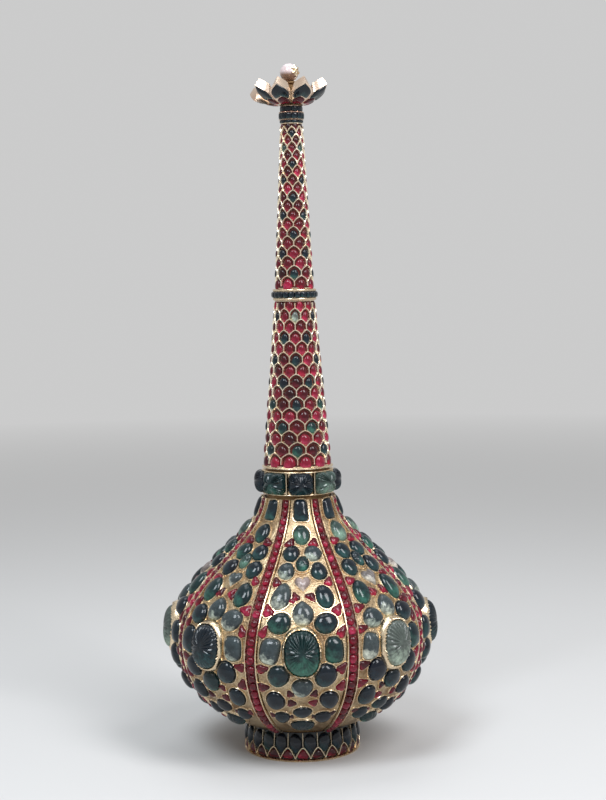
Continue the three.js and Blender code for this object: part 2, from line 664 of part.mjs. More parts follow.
function threadSolid(crestRadius, rootRadius, foot, head) {
  const segments = THREAD_SEGMENTS;
  const spare = 3 * THREAD_PITCH;
  const start = BULB_TOP_HEIGHT - spare;
  const rows = 2 * Math.ceil((head + spare - start) / THREAD_PITCH);
  const points = [];
  for (let j = 0; j <= rows; j += 1) {
    for (let i = 0; i < segments; i += 1) {
      const angle = (2 * Math.PI * i) / segments;
      const radius = j % 2 === 0 ? rootRadius : crestRadius;
      const height = start + THREAD_PITCH * (j / 2 + i / segments);
      points.push(new THREE.Vector3(radius * Math.cos(angle), radius * Math.sin(angle), height));
    }
  }
  const at = (j, i) => (i < segments ? j * segments + i : (j + 2) * segments);
  const faces = [];
  for (let j = 0; j < rows - 2; j += 1) {
    for (let i = 0; i < segments; i += 1) {
      faces.push(at(j, i), at(j, i + 1), at(j + 1, i + 1), at(j, i), at(j + 1, i + 1), at(j + 1, i));
    }
  }
  const bottom = points.push(new THREE.Vector3(0, 0, start)) - 1;
  const top = points.push(new THREE.Vector3(0, 0, start + (THREAD_PITCH * rows) / 2)) - 1;
  const round = [...Array(segments).keys()];
  const edge = (row) => [...round.map((i) => at(row, i)), at(row + 2, 0), at(row + 1, 0)];
  const lowEdge = edge(0);
  const highEdge = edge(rows - 2);
  lowEdge.forEach((point, i) => faces.push(bottom, lowEdge[(i + 1) % lowEdge.length], point));
  highEdge.forEach((point, i) => faces.push(top, point, highEdge[(i + 1) % highEdge.length]));
  const reach = 2 * crestRadius;
  const slice = solidOf(turned([[0, foot], [reach, foot], [reach, head], [0, head]]));
  return solidOf(geometryFrom(points, faces)).intersect(slice);
}

function mouthBush() {
  const foot = BUSH_TOP - BUSH_DEPTH;
  const threadFoot = WASHER_TOP - SPIGOT_LENGTH - CUT_RUNOUT;
  const rootRadius = THREAD_ROOT_RADIUS + THREAD_CLEARANCE;
  const bore = rootRadius - THREAD_CORE_INSET;
  const body = solidOf(turned([[bore, foot], [BUSH_RADIUS, foot], [BUSH_RADIUS, COLLAR_TOP],
    [BUSH_FLANGE_RADIUS, COLLAR_TOP], [BUSH_FLANGE_RADIUS, BUSH_TOP], [bore, BUSH_TOP]], THREAD_SEGMENTS));
  const crestRadius = THREAD_CREST_RADIUS + THREAD_CLEARANCE;
  const cutter = threadSolid(crestRadius, rootRadius, threadFoot, BUSH_TOP + CUT_RUNOUT);
  return geometryOf(body.subtract(cutter));
}

function sealWasher() {
  return turned([[WASHER_BORE_RADIUS, BUSH_TOP], [WASHER_RADIUS, BUSH_TOP],
    [WASHER_RADIUS, WASHER_TOP], [WASHER_BORE_RADIUS, WASHER_TOP]], RING_SEGMENTS);
}

function neckSpigot() {
  const foot = WASHER_TOP - SPIGOT_LENGTH;
  const threadHead = BUSH_TOP - THREAD_RELIEF;
  const bore = SPIGOT_BORE_RADIUS;
  const coreRadius = THREAD_ROOT_RADIUS - THREAD_CORE_INSET;
  const core = solidOf(turned([[0, foot], [coreRadius, foot], [coreRadius, WASHER_TOP],
    [SPIGOT_FLANGE_RADIUS, WASHER_TOP], [SPIGOT_FLANGE_RADIUS, NECK_LOWER_FOOT], [0, NECK_LOWER_FOOT]],
  THREAD_SEGMENTS));
  const hole = solidOf(turned([[0, foot - CUT_RUNOUT], [bore, foot - CUT_RUNOUT],
    [bore, NECK_LOWER_FOOT + CUT_RUNOUT], [0, NECK_LOWER_FOOT + CUT_RUNOUT]], THREAD_SEGMENTS));
  const thread = threadSolid(THREAD_CREST_RADIUS, THREAD_ROOT_RADIUS, foot, threadHead);
  return geometryOf(core.add(thread).subtract(hole));
}

// Neck tubes: each cell of the lattice rises to its stone, and the ribs run from node to node. The rows
// draw together towards the head by the spread

function neckTube(foot, length, radii, bores, rows, columns, spread) {
  const count = 2 * columns;
  const shareOf = (row) => (row / rows) * (1 + spread * (1 - row / rows));
  const circle = (radius, height) => Array.from({ length: count }, (_, i) => {
    const angle = FRONT + (Math.PI * i) / columns;
    const reach = typeof radius === 'function' ? radius(i) : radius;
    return new THREE.Vector3(reach * Math.cos(angle), reach * Math.sin(angle), height);
  });
  const rings = [circle(radii.foot, foot)];
  for (let k = 1; k <= rows; k += 1) {
    const share = shareOf(k - 0.5);
    const rib = lerp(radii.foot, radii.head, share);
    rings.push(circle((i) => ((i + k) % 2 === 0 ? rib + NECK_STONE_RISE : rib), foot + length * share));
  }
  rings.push(circle(radii.head, foot + length), circle(bores.head, foot + length), circle(bores.foot, foot));
  return loft(rings, true, (k, i) => (i + k) % 2 === 0);
}

function bandedRing(foot, height, radius, bore) {
  const rim = height * RING_RIM_SHARE;
  const band = radius - RING_BAND_DEPTH;
  const head = foot + height;
  return turned([[bore, foot], [radius, foot], [radius, foot + rim], [band, foot + rim], [band, head - rim],
    [radius, head - rim], [radius, head], [bore, head]], RING_SEGMENTS);
}

// Top ring: a plain foot, then a wide and a narrower bead
function topRing() {
  const head = TOP_RING_FOOT + TOP_RING_HEIGHT;
  const waist = TOP_RING_RADIUS - TOP_RING_STEP;
  const heightAt = (share) => TOP_RING_FOOT + TOP_RING_HEIGHT * share;
  const bead = (low, high, radius) => Array.from({ length: BEAD_POINTS }, (_, k) => {
    const share = k / (BEAD_POINTS - 1);
    return [radius - BEAD_ROUNDING * (2 * share - 1) ** 2, heightAt(lerp(low, high, share))];
  });
  return turned([[NECK_UPPER_BORES.head, TOP_RING_FOOT], [waist, TOP_RING_FOOT], [waist, heightAt(0.2)],
    ...bead(0.2, 0.64, TOP_RING_RADIUS), ...bead(0.64, 1, waist), [NECK_UPPER_BORES.head, head]],
  TOP_RING_SEGMENTS);
}

// Flower head

function sprinklerRose() {
  const crown = ROSE_FOOT + ROSE_THICKNESS;
  let rose = solidOf(turned([[0, ROSE_FOOT], [ROSE_RADIUS, ROSE_FOOT], [ROSE_RADIUS, crown - ROSE_EDGE],
    [ROSE_RADIUS - 2 * ROSE_EDGE, crown], [0, crown]], ROSE_SEGMENTS));
  for (let i = 0; i < ROSE_HOLES; i += 1) {
    const hole = new THREE.CylinderGeometry(ROSE_HOLE_RADIUS, ROSE_HOLE_RADIUS, 2 * ROSE_THICKNESS,
      ROSE_HOLE_EDGES);
    hole.rotateX(Math.PI / 2);
    hole.translate(ROSE_HOLE_CIRCLE, 0, ROSE_FOOT + ROSE_THICKNESS / 2);
    hole.rotateZ((2 * Math.PI * (i + 0.5)) / ROSE_HOLES);
    rose = rose.subtract(solidOf(hole));
  }
  return geometryOf(rose);
}

// A petal is a thick leaf with a keel down its outer face and a pointed, flat-cut tip
function petal() {
  const curve = new THREE.QuadraticBezierCurve(
    new THREE.Vector2(PETAL_BASE_RADIUS, ROSE_FOOT + SEAT_GAP),
    new THREE.Vector2(PETAL_BASE_RADIUS + PETAL_SWELL, ROSE_FOOT + PETAL_BEND * PETAL_HEIGHT),
    new THREE.Vector2(PETAL_TIP_RADIUS, ROSE_FOOT + PETAL_HEIGHT),
  );
  const grid = (deep) => Array.from({ length: PETAL_ROWS + 1 }, (_, k) => [-1, 0, 1].map((side) => {
    const along = (k / PETAL_ROWS) * (1 - PETAL_POINT * Math.abs(side));
    const spot = curve.getPoint(along);
    const tangent = curve.getTangent(along);
    const thickness = lerp(PETAL_BASE_THICKNESS, PETAL_TIP_THICKNESS, along ** PETAL_THICKENING);
    const depth = (deep ? thickness : 0) - (side === 0 ? PETAL_KEEL * along : 0);
    const radius = spot.x - depth * tangent.y;
    const height = Math.max(spot.y + depth * tangent.x, ROSE_FOOT + SEAT_GAP);
    const half = Math.PI / PETALS - Math.asin(SEAT_GAP / radius);
    const angle = FRONT + half * side;
    return new THREE.Vector3(radius * Math.cos(angle), radius * Math.sin(angle), height);
  }));
  return slab(grid(false), grid(true));
}

function pearlPin() {
  const cup = PEARL_CENTRE - PEARL_RADIUS - SEAT_GAP;
  const neck = PIN_FOOT + 2 * PIN_COLLAR;
  return turned([[0, PIN_FOOT], [PIN_FOOT_RADIUS, PIN_FOOT], [PIN_FOOT_RADIUS, PIN_FOOT + PIN_COLLAR],
    [PIN_STEM_RADIUS, neck], [PIN_STEM_RADIUS, cup - 2 * PIN_COLLAR], [PIN_CUP_RADIUS, cup - PIN_COLLAR],
    [PIN_CUP_RADIUS, cup], [PIN_RADIUS, cup], [PIN_RADIUS, PEARL_CENTRE - SEAT_GAP],
    [0, PEARL_CENTRE - SEAT_GAP]], PIN_SEGMENTS);
}

function pearl() {
  const hole = PIN_RADIUS + SEAT_GAP;
  const start = Math.asin(hole / PEARL_RADIUS);
  const skin = Array.from({ length: PEARL_ROWS + 1 }, (_, k) => {
    const angle = lerp(start, Math.PI, k / PEARL_ROWS);
    const radius = k === PEARL_ROWS ? 0 : PEARL_RADIUS * Math.sin(angle);
    return [radius, PEARL_CENTRE - PEARL_RADIUS * Math.cos(angle)];
  });
  return turned([[0, PEARL_CENTRE], [hole, PEARL_CENTRE], ...skin], PEARL_SEGMENTS);
}

// Assembly

place('foot_ring', footRing(), gold);
place('base_plate', basePlate(), gold);
place('lower_bowl', lowerBowl(), gold);
place('upper_shell', upperShell(), gold);
place('throat_tube', throatTube(), gold);
const panel = jewelPanel();
const largeStone = carvedEmerald();
const strip = rubyStrip();
const collarStone = collarEmerald();
for (let i = 0; i < SIDES; i += 1) {
  const turn = i * SIDE_ANGLE;
  place(`jewel_panel_${i + 1}`, panel, gold, turn);
  place(`carved_emerald_${i + 1}`, largeStone, emerald, turn);
  place(`ruby_strip_${i + 1}`, strip, ruby, turn + SIDE_ANGLE / 2);
  place(`collar_emerald_${i + 1}`, collarStone, emerald, turn);
}
place('collar_ring', collarRing(), gold);
place('mouth_bush', mouthBush(), gold);
place('seal_washer', sealWasher(), leather);
place('neck_spigot', neckSpigot(), gold);
place('neck_lower', neckTube(NECK_LOWER_FOOT, NECK_LOWER_LENGTH, NECK_LOWER_RADII, NECK_LOWER_BORES,
  NECK_LOWER_ROWS, NECK_LOWER_COLUMNS, NECK_LOWER_SPREAD), gold);
place('mid_ring', bandedRing(MID_RING_FOOT, MID_RING_HEIGHT, MID_RING_RADIUS, NECK_UPPER_BORES.foot), gold);
place('neck_upper', neckTube(NECK_UPPER_FOOT, NECK_UPPER_LENGTH, NECK_UPPER_RADII, NECK_UPPER_BORES,
  NECK_UPPER_ROWS, NECK_UPPER_COLUMNS, NECK_UPPER_SPREAD), gold);
place('top_ring', topRing(), gold);
place('sprinkler_rose', sprinklerRose(), gold);
const leaf = petal();
for (let i = 0; i < PETALS; i += 1) {
  place(`petal_${i + 1}`, leaf, gold, (2 * Math.PI * (i + 0.5)) / PETALS);
}
place('pearl_pin', pearlPin(), gold);
place('pearl', pearl(), nacre);

export default flask;
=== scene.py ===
# Looks of a jewelled gold rosewater sprinkler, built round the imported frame. Metres, +Z up, front at -Y
import math
import random

import bpy
from mathutils import Euler, Matrix, Vector, noise

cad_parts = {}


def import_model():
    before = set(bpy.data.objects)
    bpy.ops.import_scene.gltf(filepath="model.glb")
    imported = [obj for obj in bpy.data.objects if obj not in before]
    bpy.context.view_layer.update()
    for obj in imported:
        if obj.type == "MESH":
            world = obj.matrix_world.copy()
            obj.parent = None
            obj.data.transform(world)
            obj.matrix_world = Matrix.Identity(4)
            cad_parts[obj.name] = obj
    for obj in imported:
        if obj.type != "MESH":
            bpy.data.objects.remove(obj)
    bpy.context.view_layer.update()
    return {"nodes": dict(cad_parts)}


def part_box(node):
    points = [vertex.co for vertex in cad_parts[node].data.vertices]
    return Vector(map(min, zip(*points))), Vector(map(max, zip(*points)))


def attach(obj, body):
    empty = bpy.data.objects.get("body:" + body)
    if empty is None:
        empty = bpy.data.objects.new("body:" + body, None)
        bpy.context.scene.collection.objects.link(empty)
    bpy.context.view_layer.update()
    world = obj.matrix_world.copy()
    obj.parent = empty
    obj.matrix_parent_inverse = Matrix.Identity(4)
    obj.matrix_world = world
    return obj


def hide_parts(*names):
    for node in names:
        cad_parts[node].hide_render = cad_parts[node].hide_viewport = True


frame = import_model()
chance = random.Random(23)

MM = 0.001
FRONT = -math.pi / 2
SIDES = 8
SIDE_ANGLE = math.tau / SIDES

# Bulb outline: heights come from the frame
BULB_START_HEIGHT = 12 * MM
BULB_START_RADIUS = 22 * MM
SKIN_LOW = 13.4 * MM
BULB_RADIUS = 51.5 * MM
BULB_TOP_RADIUS = 14.7 * MM
BULB_BELLY = 2.1
BULB_BELLY_ROUNDING = 1.3
BULB_SHOULDER = 1.1
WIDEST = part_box("lower_bowl")[1].z
BULB_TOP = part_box("collar_ring")[0].z
SKIN_HIGH = BULB_TOP - 1.4 * MM
FINE_STEPS = 400
SEAT_GAP = 0.3 * MM
PLATE_THICKNESS = 1 * MM
# Above its widest place the bulb is twisted to the right, most at its top, and the collar still more
BULB_TWIST = math.radians(3.3)
COLLAR_TWIST = math.radians(4)

# Strips
STRIP_WIDTH = 5 * MM
STRIP_END_WIDTH = 3.6 * MM
STRIP_WIDENING = 1.5
STRIP_RUBIES = 32
STRIP_RUBY_SHARE = 0.66
STRIP_RUBY_RISE = 1.45 * MM

# Carved stones
EMERALD_WIDTH = 13.4 * MM
EMERALD_LENGTH = 17.5 * MM
EMERALD_UP = 51.2 * MM
EMERALD_RISE = 4.9 * MM
EMERALD_FLUTES = 26
FLUTE_DEPTH = 0.75 * MM
BEZEL_RISE = 1.8 * MM
BEZEL_DEPTH = 3.2 * MM
BEZEL_TEETH = 44
# These bezels are broader than the rest
HEAVY_BEZELS = (2, 4, 7)
HEAVY = 1.35

# Collar
COLLAR_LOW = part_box("collar_ring")[0].z
COLLAR_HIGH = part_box("collar_ring")[1].z
COLLAR_RIM_RADIUS = 14.7 * MM
COLLAR_SEAT_RADIUS = 13.6 * MM
COLLAR_BORE_RADIUS = 11.7 * MM
COLLAR_RIM = 0.6 * MM
COLLAR_STONE_WIDTH = 10.1 * MM
COLLAR_STONE_LENGTH = 8.9 * MM
COLLAR_STONE_RISE = 4.2 * MM
COLLAR_FLUTES = 20
# Tones of its stones from the front one round to the right
COLLAR_TONES = (0.2, 0.8, 0.15, 0.5, 0.3, 0.45, 0.1, 0.5)

# Neck tubes: radii of the lattice at the foot and the head of each. Its rows draw together by the spread.
# The cells' upright sides are given as a share of a row, at the foot and the head
NECK_LOWER = {"node": "neck_lower", "foot": 13.3 * MM, "head": 7.9 * MM, "rows": 15, "columns": 12,
              "spread": 0.04, "sides": (0.25, 0.25)}
NECK_UPPER = {"node": "neck_upper", "foot": 7.5 * MM, "head": 4.2 * MM, "rows": 19, "columns": 8,
              "spread": 0.2, "sides": (0.22, 0.05)}
NECK_BORE_SHARE = 0.72
NECK_BED_DEPTH = 0.5 * MM
LATTICE_WIRE = 1 * MM
# A stone's width, as a share of its cell's
CELL_FILLING = 0.72

# Foot ring
FOOT_RADIUS = 23.8 * MM
FOOT_TOP_RADIUS = 22.6 * MM
FOOT_BORE_RADIUS = 17 * MM
FOOT_CELLS = 24
FOOT_BED_DEPTH = 0.7 * MM
# Above the foot's underside
FOOT_RIM_UP = 1 * MM
FOOT_ARCH_LOW = 1.2 * MM
FOOT_ARCH_HIGH = 5.6 * MM
FOOT_RUBY_UP = 2.7 * MM
FOOT_DROP_UP = 7.2 * MM
# Width, length and rise
FOOT_RUBY = (5.2 * MM, 4.2 * MM, 1.2 * MM)
FOOT_DROP = (5.3 * MM, 8 * MM, 1.6 * MM)

# Flower: radius and height of the petals' ends, the height down from the top of the solid ones
PETALS = 8
PETAL_FOOT_RADIUS = 5.3 * MM
PETAL_ENDS = {
    "outer_tip": (15.6 * MM, 3.3 * MM),
    "outer_valley": (12.4 * MM, 6.8 * MM),
    "inner_tip": (13.7 * MM, 0.7 * MM),
    "inner_valley": (10.9 * MM, 2.9 * MM),
}
PETAL_BOW = 0.9 * MM
PETAL_INNER_WIDTH = 0.7
# One petal, at the back on the left, is bent out and down
BENT_PETAL = 6
BENT_PETAL_OUT = 2.4 * MM
BENT_PETAL_DOWN = 2.2 * MM
PEARL_RADIUS = 3.7 * MM
# From the middle of the solid pearl
PEARL_SHIFT = Vector((-0.6 * MM, 0, -0.4 * MM))
# The gold claw on the pearl's side
CLAW_LEAN = math.radians(78)
CLAW_TURN = math.radians(-42)
CLAW_PRONGS = 6

# Camera: its place and lens come from the photograph's perspective, for a frame of 606 by 800
CAMERA_PLACE = Vector((0.0027, -0.6519, 0.1977))
CAMERA_LENS_MM = 72
CAMERA_PITCH = math.radians(-4.716)
CAMERA_ROLL = math.radians(-1.0)
CAMERA_TURN = math.radians(-0.6)

# Backdrop, floor and lamps. A lamp has a place, a size, its watts and a colour
PALE = (0.6, 0.6, 0.6, 1)
WORLD_LIGHT = 0.34
FLOOR_COLOUR = (0.62, 0.615, 0.605, 1)
FLOOR_SIZE = 6
FLOOR_FADE = (0.35, 1.5)
LAMP_AIM = Vector((0, 0, 0.1))
LAMPS = {
    "key": ((0.45, -0.5, 0.8), (0.3, 0.65), 7.2, (0.97, 0.97, 1)),
    "fill": ((-0.28, -0.5, 0.85), (0.3, 0.4), 5.5, (0.86, 0.93, 1)),
    "top": ((-0.05, 0.2, 0.95), (0.5, 0.5), 2, (0.92, 0.96, 1)),
}

# Edges at least this sharp stay edges
SHARP = math.radians(50)
PETAL_SHARP = math.radians(28)
# Domes end just short of their poles, in a small flat
DOME_REACH = 0.47 * math.pi
FLUTED_REACH = 0.485 * math.pi
# A cabochon's height, as a share of its lesser width
STONE_RISE = 0.34
# Stones are painted lighter, a painted glow, on the side away from this one, in their own outline
LIT_SIDE = math.radians(65)


# Surfaces of revolution: each is a function from height to radius

def mix(a, b, share):
    return a + (b - a) * share


def clamp(value, low=0.0, high=1.0):
    return max(low, min(high, value))


def spaced(low, high, count):
    return [mix(low, high, k / count) for k in range(count + 1)]


def bulb_radius(height):
    if height < WIDEST:
        climb = clamp((height - BULB_START_HEIGHT) / (WIDEST - BULB_START_HEIGHT))
        swell = (1 - (1 - climb) ** BULB_BELLY) ** (1 / BULB_BELLY_ROUNDING)
        return mix(BULB_START_RADIUS, BULB_RADIUS, swell)
    climb = clamp((height - WIDEST) / (BULB_TOP - WIDEST))
    return mix(BULB_TOP_RADIUS, BULB_RADIUS, 0.5 + 0.5 * math.cos(math.pi * climb ** BULB_SHOULDER))


def bulb_twist(height):
    return BULB_TWIST * clamp((height - WIDEST) / (BULB_TOP - WIDEST))


def cone(low, high, low_radius, high_radius):
    return lambda height: mix(low_radius, high_radius, (height - low) / (high - low))


def straight(radius):
    return lambda height: radius


def spun(azimuth, radius, height):
    return Vector((radius * math.cos(azimuth), radius * math.sin(azimuth), height))


class Spot:
    """A place on a surface of revolution, with the directions round it, up it and out of it."""

    def __init__(self, surface, azimuth, height):
        step = 0.1 * MM
        self.radius = surface(height)
        slope = (surface(height + step) - surface(height - step)) / (2 * step)
        if surface is bulb_radius:
            azimuth += bulb_twist(height)
        self.side = spun(azimuth + math.pi / 2, 1, 0)
        self.up = spun(azimuth, slope, 1).normalized()
        self.out = self.side.cross(self.up)
        self.origin = spun(azimuth, self.radius, height)

    def at(self, aside, along, lift):
        return self.origin + self.side * aside + self.up * along + self.out * lift


def on(surface, azimuth, height, lift=0.0, aside=0.0):
    return Spot(surface, azimuth, height).at(aside, 0, lift)


# Mesh building

class Shape:
    """Points and faces of one piece. Tone and painted light and shade are kept for its material at each
    point.
    """

    def __init__(self):
        self.points = []
        self.faces = []
        self.tones = []
        self.painted_lights = []

    def add(self, points, tone=0.5, painted_lights=None):
        first = len(self.points)
        self.points += points
        self.tones += [tone] * len(points)
        self.painted_lights += painted_lights or [0.0] * len(points)
        return first

    def loft(self, rings, loop=False, capped=True, tone=0.5, painted_lights=None):
        """Joins closed rings of equally many points, anticlockwise as seen from the last ring."""
        count = len(rings[0])
        first = self.add([p for ring in rings for p in ring], tone, painted_lights)
        total = len(rings)
        for k in range(total if loop else total - 1):
            low = first + k * count
            high = first + ((k + 1) % total) * count
            for i in range(count):
                j = (i + 1) % count
                self.faces.append((low + i, low + j, high + j, high + i))
        if capped and not loop:
            self.faces.append(tuple(first + i for i in reversed(range(count))))
            self.faces.append(tuple(first + (total - 1) * count + i for i in range(count)))

    def slab(self, outer, inner, tone=0.5):
        """A solid between two grids that face each other: rows go up, columns go to the right."""
        rows = len(outer)
        columns = len(outer[0])
        front = self.add([p for row in outer for p in row], tone)
        back = self.add([p for row in inner for p in row], tone)
        for k in range(rows - 1):
            for i in range(columns - 1):
                a = k * columns + i
                quad = (a, a + 1, a + 1 + columns, a + columns)
                self.faces.append(tuple(front + p for p in quad))
                self.faces.append(tuple(back + p for p in reversed(quad)))
        edge = list(range(columns))
        edge += [k * columns + columns - 1 for k in range(1, rows)]
        edge += [(rows - 1) * columns + i for i in reversed(range(columns - 1))]
        edge += [k * columns for k in reversed(range(1, rows - 1))]
        for n, a in enumerate(edge):
            b = edge[(n + 1) % len(edge)]
            self.faces.append((front + b, front + a, back + a, back + b))


def add_object(name, data):
    made = bpy.data.objects.new(name, data)
    bpy.context.scene.collection.objects.link(made)
    return made


def piece(shape, name, material, body, replaced=(), sharp=SHARP):
    mesh = bpy.data.meshes.new(name)
    mesh.from_pydata([tuple(p) for p in shape.points], [], shape.faces)
    for label, values in (("tone", shape.tones), ("painted_light", shape.painted_lights)):
        layer = mesh.attributes.new(label, "FLOAT", "POINT")
        layer.data.foreach_set("value", values)
    mesh.polygons.foreach_set("use_smooth", [True] * len(mesh.polygons))
    mesh.set_sharp_from_angle(angle=sharp)
    mesh.materials.append(material)
    mesh.update()
    made = add_object(name, mesh)
    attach(made, body)
    if replaced:
        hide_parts(*replaced)
    return made


# Outlines of stones, as a point of the unit square for an angle that runs anticlockwise

def power(value, exponent):
    return math.copysign(abs(value) ** exponent, value)


def squared(across, up):
    """An outline between an oval, at exponents of 1, and a box, near 0."""
    return lambda t: (power(math.cos(t), across), power(math.sin(t), up))


oval = squared(1, 1)
cushion = squared(0.66, 0.66)
baton = squared(0.42, 0.5)
block = squared(0.35, 0.4)


def pear(t):
    up = math.sin(t)
    return power(math.cos(t), 1.45 if up > 0 else 0.95), up


def drop(t):
    aside, up = pear(-t)
    return aside, -up


def scale_outline(t):
    return power(math.cos(t), 0.9) * (1 - 0.1 * math.sin(t)), math.sin(t)


def heart(t):
    turn = math.pi / 2 - t
    tall = 13 * math.cos(turn) - 5 * math.cos(2 * turn) - 2 * math.cos(3 * turn) - math.cos(4 * turn)
    return math.sin(turn) ** 3, (tall + 2.5) / 14.5


def triangle(t):
    reach = 0.84 + 0.15 * math.cos(3 * (t - math.pi / 2))
    return reach * math.cos(t), reach * math.sin(t)


def varied(tone, amount):
    return clamp(chance.gauss(tone, amount))


def uneven(outline, amount=0.035):
    """The same outline with a hand-cut wobble of its own."""
    first = chance.uniform(0, math.tau)
    second = chance.uniform(0, math.tau)

    def cut(t):
        aside, up = outline(t)
        reach = 1 + amount * math.sin(2 * t + first) + 0.7 * amount * math.sin(3 * t + second)
        return aside * reach, up * reach
    return cut


def turn_by(aside, up, turn):
    return aside * math.cos(turn) - up * math.sin(turn), aside * math.sin(turn) + up * math.cos(turn)


def outline_places(surface, azimuth, height, outline, width, length, turn, count):
    """An outline laid on a surface, as an azimuth and a height for each of its points."""
    middle = Spot(surface, azimuth, height)
    places = []
    for i in range(count):
        aside, up = outline(math.tau * i / count)
        across, along = turn_by(aside * width / 2, up * length / 2, turn)
        places.append((azimuth + across / middle.radius, height + along * middle.up.z))
    return places


def stone(shape, surface, azimuth, height, outline, width, length, rise, tone,
          turn=0.0, count=18, rings=5, sink=0.4 * MM, full=0.8):
    """A cabochon: a dome on a sunk girdle. Its painted glow runs from 0 at its upper right to 1 at its
    lower left.
    """
    layers = []
    painted_lights = []
    for k in range(-1, rings + 1):
        angle = DOME_REACH * max(k, 0) / rings
        scale = math.cos(angle) ** full
        lift = -sink if k < 0 else rise * math.sin(angle) ** 0.92
        places = outline_places(surface, azimuth, height, outline, scale * width, scale * length, turn,
                                count)
        layers.append([on(surface, *place, lift) for place in places])
        painted_lights += [0.5 - 0.5 * scale * math.cos(math.tau * i / count + turn - LIT_SIDE)
                  for i in range(count)]
    shape.loft(layers, tone=tone, painted_lights=painted_lights)


def wire(shape, stations, width, rise, closed=False, sink=0.35):
    """A soldered wire with a rounded crest. A station is a point and the way out of the surface there."""
    profile = [(-1, -sink), (-0.8, 0.45), (-0.3, 0.92), (0.3, 0.92), (0.8, 0.45), (1, -sink)]
    rings = []
    total = len(stations)
    for n, (point, out) in enumerate(stations):
        before = stations[(n - 1) % total if closed else max(n - 1, 0)][0]
        after = stations[(n + 1) % total if closed else min(n + 1, total - 1)][0]
        across = (after - before).normalized().cross(out).normalized()
        thick = 1 + 0.16 * noise.noise(point * 900)
        rings.append([point + across * (x * width / 2 * thick) + out * (y * rise * thick)
                      for x, y in profile])
    shape.loft(rings, loop=closed)


def path_on(surface, places, lift=0.0):
    """Stations of a wire through places on a surface, each an azimuth and a height."""
    spots = [Spot(surface, azimuth, height) for azimuth, height in places]
    return [(spot.at(0, 0, lift), spot.out) for spot in spots]


def rim(shape, surface, azimuth, height, outline, width, length, turn=0.0, thick=0.55 * MM, rise=0.5 * MM,
        spread=0.32 * MM, count=22):
    """The bright gold edge that is pressed up to a stone all round."""
    places = outline_places(surface, azimuth, height, outline, width + 2 * spread, length + 2 * spread,
                            turn, count)
    wire(shape, path_on(surface, places), thick, rise, closed=True)


def turned(shape, profile, count=96):
    """A solid of revolution. The profile is a closed list of radius and height, outer side going up."""
    rings = []
    for i in range(count):
        angle = math.tau * i / count
        rings.append([spun(angle, radius, height) for radius, height in reversed(profile)])
    shape.loft(rings, loop=True)


def rimmed_ring(shape, low, high, bore, rim_radius, seat, tall, edge):
    """A ring with a seat for stones between two rims whose edges are eased."""
    lower = [(bore, low), (rim_radius - edge, low), (rim_radius, low + edge),
             (rim_radius, low + tall - edge), (rim_radius - edge, low + tall), (seat, low + tall)]
    upper = [(radius, low + high - height) for radius, height in reversed(lower)]
    turned(shape, lower + upper)


# Materials

def new_material(name):
    material = bpy.data.materials.new(name)
    material.use_nodes = True
    tree = material.node_tree
    return material, tree, tree.nodes["Principled BSDF"]


def set_inputs(node, **values):
    """Sets inputs by their names, with an underscore for a space."""
    for label, value in values.items():
        node.inputs[label.replace("_", " ")].default_value = value


def texture(tree, kind, scale, **settings):
    made = tree.nodes.new(kind)
    set_inputs(made, Scale=scale, **settings)
    coordinates = tree.nodes.new("ShaderNodeTexCoord")
    tree.links.new(coordinates.outputs["Object"], made.inputs["Vector"])
    return made


def ramp(tree, source, stops):
    made = tree.nodes.new("ShaderNodeValToRGB")
    elements = made.color_ramp.elements
    while len(elements) < len(stops):
        elements.new(0.5)
    for element, (place, colour) in zip(elements, stops):
        element.position = place
        element.color = (*colour, 1)
    tree.links.new(source, made.inputs["Fac"])
    return made.outputs["Color"]


def mixed(tree, factor, first, second, kind="MIX"):
    made = tree.nodes.new("ShaderNodeMix")
    made.data_type = "RGBA"
    made.blend_type = kind
    for label, value in (("Factor", factor), ("A", first), ("B", second)):
        socket = [here for here in made.inputs if here.name == label and here.enabled][0]
        if hasattr(value, "links"):
            tree.links.new(value, socket)
        else:
            socket.default_value = value
    return made.outputs["Result"]


def ranged(tree, source, low, high, to_low, to_high):
    made = tree.nodes.new("ShaderNodeMapRange")
    set_inputs(made, From_Min=low, From_Max=high, To_Min=to_low, To_Max=to_high)
    tree.links.new(source, made.inputs["Value"])
    return made.outputs["Result"]


def bump(tree, source, strength, distance, before=None):
    made = tree.nodes.new("ShaderNodeBump")
    set_inputs(made, Strength=strength, Distance=distance)
    tree.links.new(source, made.inputs["Height"])
    if before:
        tree.links.new(before.outputs["Normal"], made.inputs["Normal"])
    return made


def attribute(tree, label):
    made = tree.nodes.new("ShaderNodeAttribute")
    made.attribute_name = label
    return made.outputs["Fac"]


def combined(tree, operation, first, second):
    made = tree.nodes.new("ShaderNodeMath")
    made.operation = operation
    tree.links.new(first, made.inputs[0])
    tree.links.new(second, made.inputs[1])
    return made.outputs["Value"]


def gold_material(name, pale, deep, roughness, stipple, dirt_shade, waves=0.3, spread=0.1):
    """Worn high-carat gold: two tones in soft clouds, a punched or brushed skin and uneven polish."""
    material, tree, shader = new_material(name)
    clouds = texture(tree, "ShaderNodeTexNoise", 130, Detail=4, Roughness=0.6)
    grain = texture(tree, "ShaderNodeTexNoise", 1500, Detail=3)
    punched = texture(tree, "ShaderNodeTexVoronoi", 1500)
    colour = ramp(tree, clouds.outputs["Fac"], ((0.32, deep), (0.62, pale)))
    dirt = ranged(tree, grain.outputs["Fac"], 0.3, 0.55, dirt_shade, 1)
    colour = mixed(tree, 1.0, colour, dirt, "MULTIPLY")
    tree.links.new(colour, shader.inputs["Base Color"])
    set_inputs(shader, Metallic=1)
    rough = ranged(tree, grain.outputs["Fac"], 0.35, 0.7, roughness - spread, roughness + spread)
    tree.links.new(rough, shader.inputs["Roughness"])
    first = bump(tree, punched.outputs["Distance"], stipple, 0.25 * MM)
    second = bump(tree, clouds.outputs["Fac"], waves, 0.8 * MM, first)
    tree.links.new(second.outputs["Normal"], shader.inputs["Normal"])
    return material


